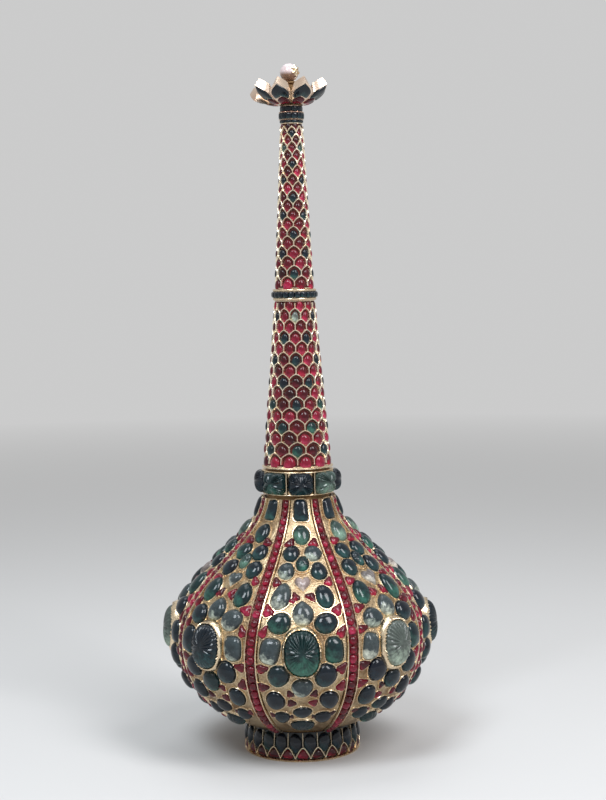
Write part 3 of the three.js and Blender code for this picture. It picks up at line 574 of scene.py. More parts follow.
def gem_material(name, stops, painted_glow_stops, roughness=0.11, cloudiness=0.22, painted_glow_start=0.52):
    """Polished stone: coloured by its tone, clouded inside, with a painted glow where light would leave
    it.
    """
    material, tree, shader = new_material(name)
    tone = attribute(tree, "tone")
    clouds = texture(tree, "ShaderNodeTexNoise", 420, Detail=5, Roughness=0.65)
    veins = texture(tree, "ShaderNodeTexNoise", 1100, Detail=4, Distortion=1.4)
    body = ramp(tree, tone, stops)
    # The colour of the painted glow
    lit = ramp(tree, tone, painted_glow_stops)
    cloudy = ranged(tree, clouds.outputs["Fac"], 0.2, 0.8, -cloudiness, cloudiness)
    # Painted light: each stone's painted glow, clouded at random
    painted_light = combined(tree, "ADD", attribute(tree, "painted_light"), cloudy)
    share = ranged(tree, painted_light, painted_glow_start, 1.0, 0.0, 0.9)
    colour = mixed(tree, share, body, lit)
    cloud_shade = ranged(tree, clouds.outputs["Fac"], 0.3, 0.7, 0.62, 1.25)
    colour = mixed(tree, 1.0, colour, cloud_shade, "MULTIPLY")
    flaws = ranged(tree, veins.outputs["Fac"], 0.62, 0.8, 0.0, 0.35)
    colour = mixed(tree, flaws, colour, lit)
    tree.links.new(colour, shader.inputs["Base Color"])
    set_inputs(shader, Roughness=roughness, Specular_IOR_Level=0.38)
    waves = bump(tree, clouds.outputs["Fac"], 0.12, 0.4 * MM)
    tree.links.new(waves.outputs["Normal"], shader.inputs["Normal"])
    return material


def pearl_material():
    material, tree, shader = new_material("pearl_nacre")
    clouds = texture(tree, "ShaderNodeTexNoise", 260, Detail=3)
    # Painted shade: the top is pale and the lower half is painted darker and browner
    pale = ramp(tree, clouds.outputs["Fac"], ((0.3, (0.56, 0.42, 0.40)), (0.7, (0.70, 0.60, 0.62))))
    deep = ramp(tree, clouds.outputs["Fac"], ((0.3, (0.10, 0.05, 0.03)), (0.7, (0.26, 0.15, 0.10))))
    painted_shade_below = ranged(tree, attribute(tree, "painted_light"), 0.44, 0.62, 0.0, 1.0)
    tree.links.new(mixed(tree, painted_shade_below, pale, deep), shader.inputs["Base Color"])
    set_inputs(shader, Roughness=0.24, Coat_Weight=0.5, Coat_Roughness=0.1)
    return material


def leather_material():
    material, tree, shader = new_material("oiled_leather")
    grain = texture(tree, "ShaderNodeTexVoronoi", 2600)
    stops = ((0.1, (0.09, 0.05, 0.03)), (0.7, (0.035, 0.02, 0.012)))
    colour = ramp(tree, grain.outputs["Distance"], stops)
    tree.links.new(colour, shader.inputs["Base Color"])
    set_inputs(shader, Roughness=0.62)
    pores = bump(tree, grain.outputs["Distance"], 0.4, 0.1 * MM)
    tree.links.new(pores.outputs["Normal"], shader.inputs["Normal"])
    return material


# The panels' matte punched ground, darker than the rims: its darkness is partly painted shade of the
# hollows between the stones
GROUND_GOLD = gold_material("ground_gold", (0.54, 0.42, 0.265), (0.22, 0.13, 0.065), 0.42, 0.6, 0.55)
BRIGHT_GOLD = gold_material("bright_gold", (0.74, 0.58, 0.38), (0.50, 0.34, 0.19), 0.27, 0.1, 0.82)
# Rims, bezels, rails and bars: polished, and paler than the ground gold as a painted highlight of the
# light they catch
RIM_GOLD = gold_material("rim_gold", (0.85, 0.71, 0.50), (0.68, 0.51, 0.33), 0.28, 0.02, 0.88, waves=0.12)
CUT_GOLD = gold_material("cut_gold", (0.86, 0.70, 0.55), (0.72, 0.52, 0.40), 0.24, 0, 0.98, waves=0.03,
                         spread=0.02)
# The neck's wires: paler still, a painted highlight for the light that thin raised wires catch between the
# dark cells
LATTICE_GOLD = gold_material("lattice_gold", (1.0, 0.91, 0.73), (0.88, 0.73, 0.51), 0.28, 0.02, 0.92,
                             waves=0.1)
# A dark gold for the hidden inner parts and the pin between the petals: painted shade, as they lie in
# shade
PAINTED_SHADE_GOLD = gold_material("painted_shade_gold", (0.26, 0.16, 0.08), (0.11, 0.065, 0.03), 0.5, 0.25, 0.7)
EMERALD = gem_material(
    "emerald",
    ((0.0, (0.003, 0.005, 0.011)), (0.35, (0.004, 0.011, 0.017)), (0.6, (0.006, 0.024, 0.024)),
     (0.8, (0.036, 0.060, 0.052)), (1.0, (0.16, 0.17, 0.15))),
    ((0.0, (0.012, 0.030, 0.044)), (0.35, (0.022, 0.078, 0.074)), (0.6, (0.045, 0.18, 0.12)),
     (0.8, (0.26, 0.40, 0.30)), (1.0, (0.58, 0.60, 0.50))))
CLEAR = gem_material(
    "clear_stone",
    ((0.0, (0.015, 0.028, 0.034)), (0.7, (0.052, 0.066, 0.068)), (1.0, (0.32, 0.25, 0.23))),
    ((0.0, (0.46, 0.56, 0.46)), (0.7, (0.68, 0.70, 0.58)), (1.0, (0.86, 0.74, 0.68))),
    cloudiness=0.3, painted_glow_start=0.64)
RUBY = gem_material(
    "ruby",
    ((0.0, (0.022, 0.001, 0.003)), (0.5, (0.10, 0.003, 0.010)), (1.0, (0.24, 0.006, 0.028))),
    ((0.0, (0.16, 0.003, 0.015)), (0.5, (0.44, 0.012, 0.045)), (1.0, (0.68, 0.055, 0.15))))
# A dark red bed for the strips' channels and the neck's cells: red foil whose darkness is partly painted
# shade of the recess
BED = gem_material(
    "ruby_bed",
    ((0.0, (0.05, 0.004, 0.003)), (1.0, (0.13, 0.012, 0.008))),
    ((0.0, (0.10, 0.006, 0.006)), (1.0, (0.24, 0.03, 0.02))), roughness=0.3)
# A near-black bed between the foot's drops: partly dark enamel, partly painted shade of the recess
DARK_BED = gem_material(
    "dark_bed",
    ((0.0, (0.004, 0.005, 0.006)), (1.0, (0.012, 0.016, 0.016))),
    ((0.0, (0.010, 0.014, 0.014)), (1.0, (0.030, 0.036, 0.034))), roughness=0.3)
NACRE = pearl_material()
LEATHER = leather_material()


# Bulb: plates, set stones and the rims pressed up to them

def strip_width(height):
    swell = (bulb_radius(height) - BULB_TOP_RADIUS) / (BULB_RADIUS - BULB_TOP_RADIUS)
    return mix(STRIP_END_WIDTH, STRIP_WIDTH, min(1, STRIP_WIDENING * swell))


def panel_half_angle(height):
    return SIDE_ANGLE / 2 - math.asin((strip_width(height) / 2 + SEAT_GAP) / bulb_radius(height))


def skin_reach(low, high):
    return math.hypot(high - low, bulb_radius(high) - bulb_radius(low))


def skin_heights(count):
    """Heights of equal steps along the curved skin, from its foot to the collar."""
    fine = spaced(SKIN_LOW, SKIN_HIGH, FINE_STEPS)
    reach = [0.0]
    for low, high in zip(fine, fine[1:]):
        reach.append(reach[-1] + skin_reach(low, high))
    heights = []
    k = 0
    for n in range(count + 1):
        goal = reach[-1] * n / count
        while k < FINE_STEPS - 1 and reach[k + 1] < goal:
            k += 1
        heights.append(mix(fine[k], fine[k + 1], clamp((goal - reach[k]) / (reach[k + 1] - reach[k]))))
    return heights


# Stones of a panel, in millimetres: aside, height, outline, width, length, kind, tone. A stone that isn't
# in the middle has its twin on the other side
PANEL_STONES = (
    (0, 100.5, baton, 5.1, 8.5, "emerald", 0.15),
    (0, 91.8, oval, 6.6, 9.0, "emerald", 0.7),
    (4.6, 88.7, triangle, 4.4, 5.4, "ruby", 0.4),
    (4.2, 85.0, oval, 6.5, 7.6, "emerald", 0.4),
    (6.3, 79.1, oval, 6.6, 7.9, "emerald", 0.2),
    (0, 74.9, heart, 6.1, 7.0, "clear", 1.0),
    (10.0, 75.2, triangle, 3.9, 5.2, "ruby", 0.5),
    (8.4, 70.7, oval, 7.0, 11.0, "emerald", 0.45),
    (2.9, 70.6, triangle, 3.6, 4.8, "ruby", 0.4),
    (0, 65.0, pear, 7.6, 9.6, "clear", 0.3),
    (13.2, 65.7, triangle, 4.4, 6.2, "ruby", 0.6),
    (4.0, 69.9, triangle, 2.6, 3.4, "ruby", 0.3),
    (8.9, 61.8, oval, 8.7, 8.1, "emerald", 0.35),
    (15.0, 58.4, triangle, 3.6, 6.0, "ruby", 0.5),
    (12.3, 51.8, cushion, 7.4, 10.0, "emerald", 0.4),
    (15.2, 44.7, triangle, 4.0, 5.6, "ruby", 0.4),
    (9.0, 42.2, oval, 8.3, 8.8, "emerald", 0.2),
    (0, 37.3, oval, 8.0, 8.2, "emerald", 0.3),
    (14.9, 37.5, triangle, 4.2, 5.2, "ruby", 0.35),
    (4.6, 34.9, triangle, 3.0, 3.8, "ruby", 0.3),
    (10.3, 31.9, oval, 7.4, 8.8, "emerald", 0.15),
    (4.2, 30.6, triangle, 4.0, 4.0, "ruby", 0.3),
    (0, 26.3, oval, 7.2, 6.0, "emerald", 0.1),
    (7.8, 23.6, oval, 6.3, 6.8, "emerald", 0.1),
    (4.4, 23.8, triangle, 2.4, 3.2, "ruby", 0.2),
    (11.2, 24.6, triangle, 2.8, 3.8, "ruby", 0.2),
)
# Nearly colourless cabochons of the panels seen from the front, by panel: side and height in the table.
# On every panel a share of the others is so too
PALE_STONES = {
    1: ((1, 85.0), (-1, 70.7), (-1, 51.8)),
    2: ((-1, 61.8), (-1, 51.8)),
    8: ((1, 61.8), (1, 51.8)),
}
PALE_SHARE = 0.07
# Small carved stones in the middle of every panel, in millimetres: height, width, length, rise
SMALL_CARVED = ((81.5, 5.0, 7.2, 2.2), (20.0, 9.0, 6.6, 2.8))
# Tones of the large carved stones, from the front one round to the right
CARVED_TONES = (0.58, 0.88, 0.3, 0.55, 0.7, 0.4, 0.85, 0.25)


def plate(number, azimuth):
    """A panel's gold ground, beaten a little uneven."""
    dents = 0.22 * MM
    heights = skin_heights(88)

    def grid(depth):
        rows = []
        for height in heights:
            half = panel_half_angle(height)
            row = []
            for across in spaced(-1, 1, 22):
                angle = azimuth + half * across
                place = on(bulb_radius, angle, height)
                beaten = dents * noise.noise(place * 260) if depth == 0 else 0
                row.append(on(bulb_radius, angle, height, beaten - depth))
            rows.append(row)
        return rows
    shape = Shape()
    shape.slab(grid(0), grid(PLATE_THICKNESS))
    piece(shape, f"panel_plate_{number}", GROUND_GOLD, "flask_body", [f"jewel_panel_{number}"])


def panel_stones(number, azimuth):
    gems = {"emerald": Shape(), "ruby": Shape(), "clear": Shape()}
    rims = Shape()
    for aside, height, outline, width, length, kind, tone in PANEL_STONES:
        for sign in ((1,) if aside == 0 else (-1, 1)):
            level = (height + chance.uniform(-0.25, 0.25)) * MM
            angle = azimuth + math.asin(sign * aside * MM / bulb_radius(level))
            size = chance.uniform(0.98, 1.08)
            shade = varied(tone, 0.16)
            pale = kind == "emerald" and outline is not baton and chance.random() < PALE_SHARE
            pale = pale or (sign, height) in PALE_STONES.get(number, ())
            lean = chance.uniform(-0.08, 0.08)
            if outline is triangle:
                lean = sign * math.radians(chance.choice((-38, -20, 25, 80)))
            elif aside:
                lean += sign * 0.1
            cut = uneven(outline)
            broad = width * size * MM
            long = length * size * MM
            small = kind == "ruby"
            stone(gems["clear" if pale else kind], bulb_radius, angle, level, cut, broad, long,
                  STONE_RISE * min(broad, long), shade, lean, count=24 if small else 20,
                  rings=4 if small else 6)
            rim(rims, bulb_radius, angle, level, cut, broad, long, lean,
                thick=(0.42 if small else 0.6) * MM)
    for sizes in SMALL_CARVED:
        small_carved(gems["emerald"], rims, azimuth, *(size * MM for size in sizes))
    piece(gems["emerald"], f"panel_emeralds_{number}", EMERALD, "flask_body")
    piece(gems["ruby"], f"panel_rubies_{number}", RUBY, "flask_body")
    piece(gems["clear"], f"panel_clear_stones_{number}", CLEAR, "flask_body")
    piece(rims, f"panel_rims_{number}", RIM_GOLD, "flask_body")


def fluted(shape, surface, azimuth, height, outline, width, length, rise, tone, flutes, depth,
           count=96, rings=12, lift=0.0, girdle=0.22):
    """A carved stone: a dome on a straight girdle, cut with flutes that run out from its middle."""
    layers = []
    painted_lights = []
    base = Spot(surface, azimuth, height)
    for k in range(-1, rings + 1):
        angle = FLUTED_REACH * max(k, 0) / rings
        scale = math.cos(angle) ** 0.72
        level = 0.0 if k < 0 else rise * mix(girdle, 1, math.sin(angle))
        ring = []
        for i in range(count):
            t = math.tau * i / count
            aside, up = outline(t)
            wave = abs(math.sin(flutes * t / 2 + 0.35 * math.sin(2 * t)))
            shallow = mix(1, 0.55, clamp(-math.sin(t)))
            bite = shallow * depth * (1 - wave) * clamp(1.5 * scale - 0.12) if k > 0 else 0
            squeeze = scale - (0.035 * (1 - wave) if k == 0 else 0)
            ring.append(base.at(aside * squeeze * width / 2, up * squeeze * length / 2,
                                lift + level - bite))
            # Painted glow: the carved stone is painted lighter towards its lower edge
            painted_lights.append(clamp(0.5 - 0.5 * scale * math.sin(t)))
        layers.append(ring)
    shape.loft(layers, tone=tone, painted_lights=painted_lights)


def small_carved(gems, rims, azimuth, height, width, length, rise):
    outline = uneven(oval)
    tone = varied(0.45, 0.15)
    fluted(gems, bulb_radius, azimuth, height, outline, width, length, rise, tone, 12, 0.35 * MM,
           count=48, rings=7)
    for spread, lift in ((0.35 * MM, 0.9 * MM), (1.0 * MM, 0.5 * MM)):
        rim(rims, bulb_radius, azimuth, height, outline, width, length,
            thick=0.7 * MM, rise=lift, spread=spread)


def carved_emerald(number, azimuth):
    shape = Shape()
    outline = uneven(squared(0.86, 0.86), 0.02)
    fluted(shape, bulb_radius, azimuth, EMERALD_UP, outline, EMERALD_WIDTH, EMERALD_LENGTH,
           EMERALD_RISE, CARVED_TONES[number - 1], EMERALD_FLUTES, FLUTE_DEPTH, count=6 * EMERALD_FLUTES,
           rings=16, lift=SEAT_GAP)
    piece(shape, f"carved_stone_{number}", EMERALD, "flask_body", [f"carved_emerald_{number}"])
    bezel(number, azimuth, outline)


def bezel(number, azimuth, outline):
    """A ragged gold collet: its upper edge is cut into low uneven teeth and leans on the stone."""
    shape = Shape()
    base = Spot(bulb_radius, azimuth, EMERALD_UP)
    count = 2 * BEZEL_TEETH
    heavy = HEAVY if number in HEAVY_BEZELS else 1.0
    jags = [chance.uniform(0.5, 1.3) if i % 2 else chance.uniform(0.0, 0.4) for i in range(count)]
    rings = []
    for i in range(count):
        aside, up = outline(math.tau * i / count)
        tooth = BEZEL_RISE * mix(0.7, 1.15, jags[i])
        section = ((1.1 * MM * heavy, -BEZEL_DEPTH), (1.1 * MM * heavy, 0.1 * MM),
                   (0.85 * MM * heavy, tooth * 0.45), (0.6 * MM * heavy, tooth - 0.15 * MM),
                   (0.3 * MM, tooth), (0.15 * MM, tooth - 0.3 * MM), (0.15 * MM, -BEZEL_DEPTH))
        ring = []
        for spread, lift in section:
            reach = 1 + spread / (EMERALD_WIDTH / 2) / math.hypot(aside, up)
            ring.append(base.at(aside * reach * EMERALD_WIDTH / 2, up * reach * EMERALD_LENGTH / 2, lift))
        rings.append(ring)
    shape.loft(rings, loop=True)
    piece(shape, f"bezel_{number}", RIM_GOLD, "flask_body")


def strip(number, azimuth):
    """A channel of small rubies on red foil, between two rails."""
    gold = Shape()
    foil = Shape()
    heights = skin_heights(72)
    rail = ((1, -1.0), (1, 0.5), (0.95, 0.8), (0.84, 0.85), (0.76, 0.6), (0.72, -0.4))

    def section(height, places):
        half = strip_width(height) / 2
        spot = Spot(bulb_radius, azimuth, height)
        right = [(x * half, y * MM) for x, y in places]
        left = [(-x, y) for x, y in reversed(right)]
        return [spot.at(x, 0, y) for x, y in right + left]
    gold.loft([section(height, rail) for height in heights])
    foil.loft([section(height, ((0.71, -0.35), (0.71, 0.1))) for height in heights])
    piece(gold, f"strip_rails_{number}", RIM_GOLD, "flask_body", [f"ruby_strip_{number}"])
    piece(foil, f"strip_foil_{number}", BED, "flask_body")
    gems = Shape()
    places = skin_heights(2 * STRIP_RUBIES)
    for n in range(STRIP_RUBIES):
        low, height, high = places[2 * n: 2 * n + 3]
        wide = strip_width(height) * STRIP_RUBY_SHARE * chance.uniform(0.92, 1.03)
        long = skin_reach(low, high) * chance.uniform(0.9, 1.02)
        shade = varied(0.55, 0.22)
        stone(gems, bulb_radius, azimuth, height, uneven(oval, 0.05), wide, long, STRIP_RUBY_RISE, shade,
              chance.uniform(-0.08, 0.08), count=14, rings=4, sink=0.05 * MM)
    piece(gems, f"strip_rubies_{number}", RUBY, "flask_body")


for side in range(SIDES):
    middle = FRONT + side * SIDE_ANGLE
    plate(side + 1, middle)
    panel_stones(side + 1, middle)
    carved_emerald(side + 1, middle)
    strip(side + 1, middle + SIDE_ANGLE / 2)


# Foot ring: dark drops over a zigzag of ruby triangles

def foot():
    low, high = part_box("foot_ring")
    deep = FOOT_BED_DEPTH
    side = cone(low.z, high.z, FOOT_RADIUS - deep, FOOT_TOP_RADIUS - deep)
    rim_high = low.z + FOOT_RIM_UP
    gold = Shape()
    turned(gold, ((FOOT_BORE_RADIUS, low.z), (FOOT_RADIUS, low.z), (FOOT_RADIUS, low.z + 0.6 * MM),
                  (side(rim_high), rim_high), (side(rim_high) - deep, rim_high),
                  (side(high.z) - deep, high.z), (FOOT_BORE_RADIUS, high.z)))
    bed = Shape()
    turned(bed, ((side(rim_high) - deep, rim_high), (side(rim_high), rim_high), (side(high.z), high.z),
                 (side(high.z) - deep, high.z)))
    arch_low = low.z + FOOT_ARCH_LOW
    arch_high = low.z + FOOT_ARCH_HIGH
    pitch = math.tau / FOOT_CELLS
    rims = Shape()
    drops = Shape()
    rubies = Shape()
    for n in range(FOOT_CELLS):
        azimuth = FRONT + n * pitch
        arch = [(azimuth + across * pitch / 2, mix(arch_high, arch_low, abs(across) ** 1.6))
                for across in spaced(-1, 1, 10)]
        wire(rims, path_on(side, arch), 0.72 * MM, 1.1 * MM)
        rail = [(azimuth, up) for up in spaced(arch_high, high.z - 0.2 * MM, 4)]
        wire(rims, path_on(side, rail), 0.42 * MM, 0.8 * MM)
        stone(rubies, side, azimuth, low.z + FOOT_RUBY_UP, uneven(triangle), *FOOT_RUBY,
              varied(0.4, 0.2), count=16, rings=4)
        stone(drops, side, azimuth + pitch / 2, low.z + FOOT_DROP_UP, uneven(drop), *FOOT_DROP,
              varied(0.08, 0.08))
    piece(gold, "foot_gold", BRIGHT_GOLD, "flask_body", ["foot_ring"])
    piece(bed, "foot_bed", DARK_BED, "flask_body")
    piece(rims, "foot_rims", RIM_GOLD, "flask_body")
    piece(drops, "foot_drops", EMERALD, "flask_body")
    piece(rubies, "foot_rubies", RUBY, "flask_body")


foot()


# Collar: eight carved stones between gold bars

def collar():
    gold = Shape()
    edge = COLLAR_RIM / 3
    seat = COLLAR_SEAT_RADIUS
    rimmed_ring(gold, COLLAR_LOW, COLLAR_HIGH, COLLAR_BORE_RADIUS, COLLAR_RIM_RADIUS, seat,
                COLLAR_RIM, edge)
    wall = straight(seat)
    for n in range(SIDES):
        azimuth = FRONT + COLLAR_TWIST + n * SIDE_ANGLE
        bar = [(azimuth + SIDE_ANGLE / 2, up)
               for up in spaced(COLLAR_LOW + edge, COLLAR_HIGH - edge, 6)]
        wire(gold, path_on(wall, bar), 0.9 * MM, 1.6 * MM, sink=0.1)
        shape = Shape()
        outline = uneven(squared(0.46, 0.5), 0.015)
        fluted(shape, wall, azimuth, (COLLAR_LOW + COLLAR_HIGH) / 2, outline, COLLAR_STONE_WIDTH,
               COLLAR_STONE_LENGTH, COLLAR_STONE_RISE, COLLAR_TONES[n], COLLAR_FLUTES, FLUTE_DEPTH,
               count=8 * COLLAR_FLUTES, rings=12, lift=0.1 * MM, girdle=0.3)
        piece(shape, f"collar_stone_{n + 1}", EMERALD, "flask_body",
              [f"collar_emerald_{n + 1}"])
    piece(gold, "collar_gold", RIM_GOLD, "flask_body", ["collar_ring"])


collar()


# Neck tubes: scale-shaped cells between gold wires, each with one stone sitting low in it

def neck_tube(tube):
    low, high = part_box(tube["node"])
    base = cone(low.z, high.z, tube["foot"] - NECK_BED_DEPTH, tube["head"] - NECK_BED_DEPTH)
    rows = tube["rows"]
    columns = tube["columns"]
    half = math.pi / columns

    def row_height(row):
        share = row / rows
        return mix(low.z, high.z, share * (1 + tube["spread"] * (1 - share)))
    outer = [(base(height), height) for height in spaced(low.z, high.z, 24)]
    middle = [(radius - 0.4 * MM, height) for radius, height in reversed(outer)]
    inner = [(radius * NECK_BORE_SHARE, height) for radius, height in reversed(outer)]
    bed = Shape()
    turned(bed, outer + middle, count=72)
    gold = Shape()
    turned(gold, list(reversed(middle)) + inner, count=72)
    rubies = Shape()
    darks = Shape()
    for k in range(rows):
        height = row_height(k + 0.5)
        step = row_height(k + 1) - row_height(k)
        for i in range(columns):
            azimuth = FRONT + half * (2 * i + 1 - k % 2)
            cell_wires(gold, base, azimuth, height, half, step, mix(*tube["sides"], k / rows), high.z)
            dark = k % 2 == 1 and i % 2 == (k // 2) % 2
            shape = darks if dark else rubies
            tone = varied(0.2, 0.25) if dark else varied(0.56, 0.3)
            wide = 2 * half * base(height) * CELL_FILLING * chance.uniform(0.9, 1.05)
            tall = step * chance.uniform(0.94, 1.06) * (1.2 if k == 0 else 1)
            sag = 0.12 if k == 0 else 0.05
            rise = 0.26 * min(wide, tall) + 0.25 * MM
            stone(shape, base, azimuth, height - sag * step, uneven(scale_outline, 0.04), wide, tall, rise,
                  tone, chance.uniform(-0.08, 0.08), count=16, rings=4, sink=0.2 * MM)
    for height in (low.z + 0.35 * MM, high.z - 0.3 * MM):
        places = [(FRONT + math.tau * i / 96, height) for i in range(96)]
        wire(gold, path_on(base, places), 0.8 * MM, 0.85 * MM, closed=True)
    name = tube["node"]
    piece(gold, f"{name}_gold", LATTICE_GOLD, "neck", [name])
    piece(bed, f"{name}_bed", BED, "neck")
    piece(rubies, f"{name}_rubies", RUBY, "neck")
    piece(darks, f"{name}_emeralds", EMERALD, "neck")


def cell_wires(gold, surface, azimuth, height, half, step, upright, top):
    """The left side of a scale-shaped cell and its two bowed upper edges."""
    side_low = height - upright * step
    side_high = height + upright * step
    peak = height + (1 - upright) * step
    side = [(azimuth - half, up) for up in spaced(side_low, side_high, 2)]
    wire(gold, path_on(surface, side), LATTICE_WIRE, LATTICE_WIRE)
    if peak > top:
        return
    for sign in (-1, 1):
        path = []
        for share in spaced(0, 1, 5):
            bow = math.sin(math.pi * share)
            across = sign * half * (1 - share + 0.08 * bow)
            path.append((azimuth + across, mix(side_high, peak, share + 0.12 * bow)))
        wire(gold, path_on(surface, path), LATTICE_WIRE, 1.05 * LATTICE_WIRE)


neck_tube(NECK_LOWER)
neck_tube(NECK_UPPER)


def neck_skirt():
    """The flared edge on which the neck stands, over the flange of its spigot."""
    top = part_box("neck_spigot")[1].z
    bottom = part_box("seal_washer")[1].z
    foot = NECK_LOWER["foot"]
    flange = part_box("neck_spigot")[1].x + 0.05 * MM
    shape = Shape()
    turned(shape, ((flange, bottom + 0.05 * MM), (foot + 1.25 * MM, bottom + 0.05 * MM),
                   (foot + 1.35 * MM, bottom + 0.3 * MM), (foot + 1.2 * MM, bottom + 0.5 * MM),
                   (foot + 0.75 * MM, top + 0.1 * MM), (foot + 0.6 * MM, top + 0.3 * MM),
                   (foot + 0.05 * MM, top + 0.35 * MM), (foot + 0.05 * MM, top + 0.05 * MM),
                   (flange, top + 0.05 * MM)))
    piece(shape, "neck_skirt", RIM_GOLD, "neck")


neck_skirt()


# Rings of the neck

def stone_band(name, low, high, radius, stones, rise, tone):
    """A ring of dark stones set edge to edge."""
    gems = Shape()
    for n in range(stones):
        azimuth = FRONT + math.tau * (n + 0.5) / stones
        wide = math.tau * radius / stones * 1.04
        stone(gems, straight(radius), azimuth, (low + high) / 2, uneven(block, 0.015), wide, high - low,
              rise, varied(tone, 0.1), count=16, rings=4, sink=0.3 * MM, full=0.5)
    piece(gems, name, EMERALD, "neck")


def mid_ring():
    low, high = (corner.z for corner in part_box("mid_ring"))
    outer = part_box("mid_ring")[1].x
    bore = NECK_UPPER["foot"] * NECK_BORE_SHARE
    band = outer - 0.8 * MM
    tall = (high - low) * 0.22
    gold = Shape()
    rimmed_ring(gold, low, high, bore, outer - 0.35 * MM, band, tall, 0.22 * MM)
    piece(gold, "mid_ring_gold", RIM_GOLD, "neck", ["mid_ring"])
    stone_band("mid_ring_stones", low + tall, high - tall, band, 22, 1.05 * MM, 0.2)


def top_ring():
    """A plain foot, a wide band of dark stones between gold lines, and a narrower one above it."""
    low, high = (corner.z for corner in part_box("top_ring"))
    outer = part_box("top_ring")[1].x
    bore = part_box("neck_upper")[1].x * 0.4
    wide = outer - 0.75 * MM
    narrow = outer - 1.4 * MM

    def level(share):
        return mix(low, high, share)

    gold = Shape()
    line = outer - 0.2 * MM
    turned(gold, ((bore, low), (narrow + 0.2 * MM, low), (narrow + 0.2 * MM, level(0.18)),
                  (line - 0.15 * MM, level(0.18)), (line, level(0.2)), (line - 0.15 * MM, level(0.23)),
                  (wide, level(0.24)), (wide, level(0.56)), (line - 0.15 * MM, level(0.57)),
                  (line, level(0.6)), (line - 0.15 * MM, level(0.64)), (narrow, level(0.65)),
                  (narrow, high), (bore, high)))
    piece(gold, "top_ring_gold", CUT_GOLD, "neck", ["top_ring"])
    bands = (("foot", 0.0, 0.17, narrow + 0.2 * MM, 10), ("wide", 0.22, 0.58, wide, 12),
             ("narrow", 0.64, 0.98, narrow, 10))
    for label, foot_share, head_share, radius, count in bands:
        stone_band(f"top_ring_{label}", level(foot_share), level(head_share), radius, count,
                   0.65 * MM, 0.1)


mid_ring()
top_ring()


# Flower: thick folded petals, a pierced rose and the pearl

PETAL_LOW, PETAL_HIGH = (corner.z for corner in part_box("petal_1"))


def petal_edge(number, side, across):
    """Radius and height of a petal's end, from the tip in its middle to the valleys at its sides."""
    tip_radius, tip_drop = PETAL_ENDS[f"{side}_tip"]
    valley_radius, valley_drop = PETAL_ENDS[f"{side}_valley"]
    share = abs(across)
    bent = 1 if number == BENT_PETAL else 0
    return (mix(tip_radius, valley_radius, share) + bent * BENT_PETAL_OUT,
            PETAL_HIGH - mix(tip_drop, valley_drop, share) - bent * BENT_PETAL_DOWN)


def petal_point(number, across, along, side, lift=0.0):
    """A point of a petal's outer or inner face: across from -1 to 1, along from 0 at its foot to 1."""
    end_radius, end_height = petal_edge(number, side, across)
    foot = PETAL_FOOT_RADIUS - (0 if side == "outer" else 0.9 * MM)
    bow = PETAL_BOW * math.sin(math.pi * along) * (1 - 0.5 * abs(across))
    radius = mix(foot, end_radius, along) + bow * 0.7 + lift * 0.7
    height = max(mix(PETAL_LOW, end_height, along) - bow * 0.7 - lift * 0.7, PETAL_LOW)
    half = math.pi / PETALS - math.asin(0.16 * MM / radius)
    if side == "inner":
        half *= mix(1, PETAL_INNER_WIDTH, along)
    angle = FRONT + (number - 0.5) * math.tau / PETALS + half * across
    return spun(angle, radius, height)


def petal(number):
    def grid(side):
        return [[petal_point(number, across, along, side) for across in spaced(-1, 1, 12)]
                for along in spaced(0, 1, 10)]
    body = Shape()
    body.slab(grid("outer"), grid("inner"))
    piece(body, f"petal_gold_{number}", CUT_GOLD, "neck", [f"petal_{number}"], PETAL_SHARP)
    for label, material, tone, low, high in (
            ("ruby", RUBY, 0.3, 0.06, 0.4), ("emerald", EMERALD, 0.25, 0.44, 0.94)):
        inlay = Shape()
        layers = []
        painted_lights = []
        for size, lift in ((1, -0.3 * MM), (0.98, 0.2 * MM), (0.84, 0.5 * MM), (0.5, 0.65 * MM)):
            ring = []
            for n in range(28):
                x, y = baton(math.tau * n / 28)
                along = mix(low, high, 0.5 + 0.5 * y * size)
                ring.append(petal_point(number, 0.84 * x * size, along, "outer", lift))
                # Painted glow: each inlay is painted lighter towards its lower end
                painted_lights.append(0.5 - 0.5 * y * size)
            layers.append(ring)
        inlay.loft(layers, tone=tone, painted_lights=painted_lights)
        piece(inlay, f"petal_{label}_{number}", material, "neck")


for petal_number in range(1, PETALS + 1):
    petal(petal_number)


def pearl():
    low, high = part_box("pearl")
    centre = (low + high) / 2 + PEARL_SHIFT
    bead = Shape()
    painted_lights = []
    rings = []
    for k in range(1, 24):
        angle = math.pi * (k / 24 - 0.5)
        ring = []
        for i in range(36):
            turn = math.tau * i / 36
            way = spun(turn, math.cos(angle), math.sin(angle))
            swell = 1 + 0.03 * noise.noise(way * 1.3 + Vector((3, 1, 7)))
            ring.append(centre + way * PEARL_RADIUS * swell)
        rings.append(ring)
        # Painted shade: its share grows from 0 at the pearl's top to 1 at its foot
        painted_lights += [0.5 - 0.5 * math.sin(angle)] * len(ring)
    bead.loft(rings, painted_lights=painted_lights)
    piece(bead, "pearl_bead", NACRE, "neck", ["pearl"])
    claw = Shape()
    lean = Euler((0, CLAW_LEAN, CLAW_TURN)).to_matrix()
    for n in range(CLAW_PRONGS):
        turn = math.tau * n / CLAW_PRONGS
        path = []
        for k in range(5):
            angle = math.radians(5 + 7 * k)
            way = lean @ spun(turn, math.sin(angle), math.cos(angle))
            path.append((centre + way * PEARL_RADIUS, way))
        wire(claw, path, 1.2 * MM, 0.7 * MM)
    piece(claw, "pearl_claw", RIM_GOLD, "neck")


pearl()


# CAD nodes that keep their own shape get their finish here

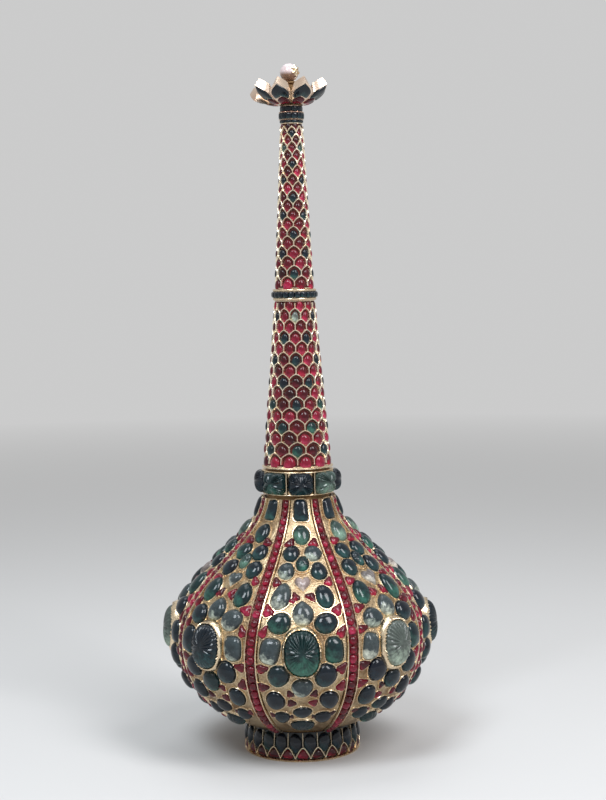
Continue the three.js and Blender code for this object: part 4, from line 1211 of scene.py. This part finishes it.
def finish_cad_nodes():
    golden = ("base_plate", "lower_bowl", "upper_shell", "throat_tube", "mouth_bush", "neck_spigot",
              "sprinkler_rose", "pearl_pin")
    for node in (*golden, "seal_washer"):
        mesh = frame["nodes"][node].data
        mesh.materials.clear()
        # The gold nodes are given the dark gold of painted shade; the washer is leather
        mesh.materials.append(PAINTED_SHADE_GOLD if node in golden else LEATHER)


finish_cad_nodes()


# Floor, light and camera

def blended(tree, share, first, second):
    made = tree.nodes.new("ShaderNodeMixShader")
    for place, source in enumerate((share, first, second)):
        tree.links.new(source, made.inputs[place])
    return made.outputs["Shader"]


def backdrop_switch(tree, lit, plain):
    """The pale backdrop as the camera, mirrors and glass see it, and plain light for everything else."""
    path = tree.nodes.new("ShaderNodeLightPath")
    seen = path.outputs["Is Camera Ray"]
    for ray in ("Is Glossy Ray", "Is Transmission Ray"):
        seen = combined(tree, "MAXIMUM", seen, path.outputs[ray])
    return blended(tree, seen, lit, plain)


def world():
    made = bpy.data.worlds.new("studio")
    made.use_nodes = True
    tree = made.node_tree
    lit = tree.nodes["Background"]
    set_inputs(lit, Color=(1, 1, 1, 1), Strength=WORLD_LIGHT)
    plain = tree.nodes.new("ShaderNodeBackground")
    set_inputs(plain, Color=PALE, Strength=1)
    switch = backdrop_switch(tree, lit.outputs["Background"], plain.outputs["Background"])
    tree.links.new(switch, tree.nodes["World Output"].inputs["Surface"])
    bpy.context.scene.world = made


def floor():
    mesh = bpy.data.meshes.new("floor")
    corners = [(x * FLOOR_SIZE, y * FLOOR_SIZE, 0) for x, y in ((-1, -1), (1, -1), (1, 1), (-1, 1))]
    mesh.from_pydata(corners, [], [(0, 1, 2, 3)])
    made = add_object("floor", mesh)
    material, tree, shader = new_material("pale_floor")
    set_inputs(shader, Base_Color=FLOOR_COLOUR, Roughness=0.8, Specular_IOR_Level=0.1)
    far = tree.nodes.new("ShaderNodeEmission")
    set_inputs(far, Color=PALE)
    place = tree.nodes.new("ShaderNodeTexCoord")
    reach = tree.nodes.new("ShaderNodeVectorMath")
    reach.operation = "LENGTH"
    tree.links.new(place.outputs["Object"], reach.inputs[0])
    away = ranged(tree, reach.outputs["Value"], *FLOOR_FADE, 0.0, 1.0)
    blend = blended(tree, away, shader.outputs["BSDF"], far.outputs["Emission"])
    tree.links.new(blend, tree.nodes["Material Output"].inputs["Surface"])
    mesh.materials.append(material)


def lamp(name, place, size, watts, colour):
    data = bpy.data.lights.new(name, "AREA")
    data.shape = "RECTANGLE"
    data.size, data.size_y = size
    data.energy = watts
    data.color = colour
    made = add_object(name, data)
    made.location = place
    made.rotation_euler = (LAMP_AIM - Vector(place)).to_track_quat("-Z", "Y").to_euler()


def camera():
    data = bpy.data.cameras.new("camera")
    data.lens = CAMERA_LENS_MM
    data.sensor_width = 36
    made = add_object("camera", data)
    aimed = Matrix.Rotation(math.pi / 2 + CAMERA_PITCH, 4, "X") @ Matrix.Rotation(CAMERA_ROLL, 4, "Z")
    made.matrix_world = Matrix.Rotation(CAMERA_TURN, 4, "Z") @ Matrix.Translation(CAMERA_PLACE) @ aimed
    bpy.context.scene.camera = made


world()
floor()
for lamp_name, lamp_set in LAMPS.items():
    lamp(lamp_name, *lamp_set)
camera()
bpy.context.scene.view_settings.view_transform = "Standard"
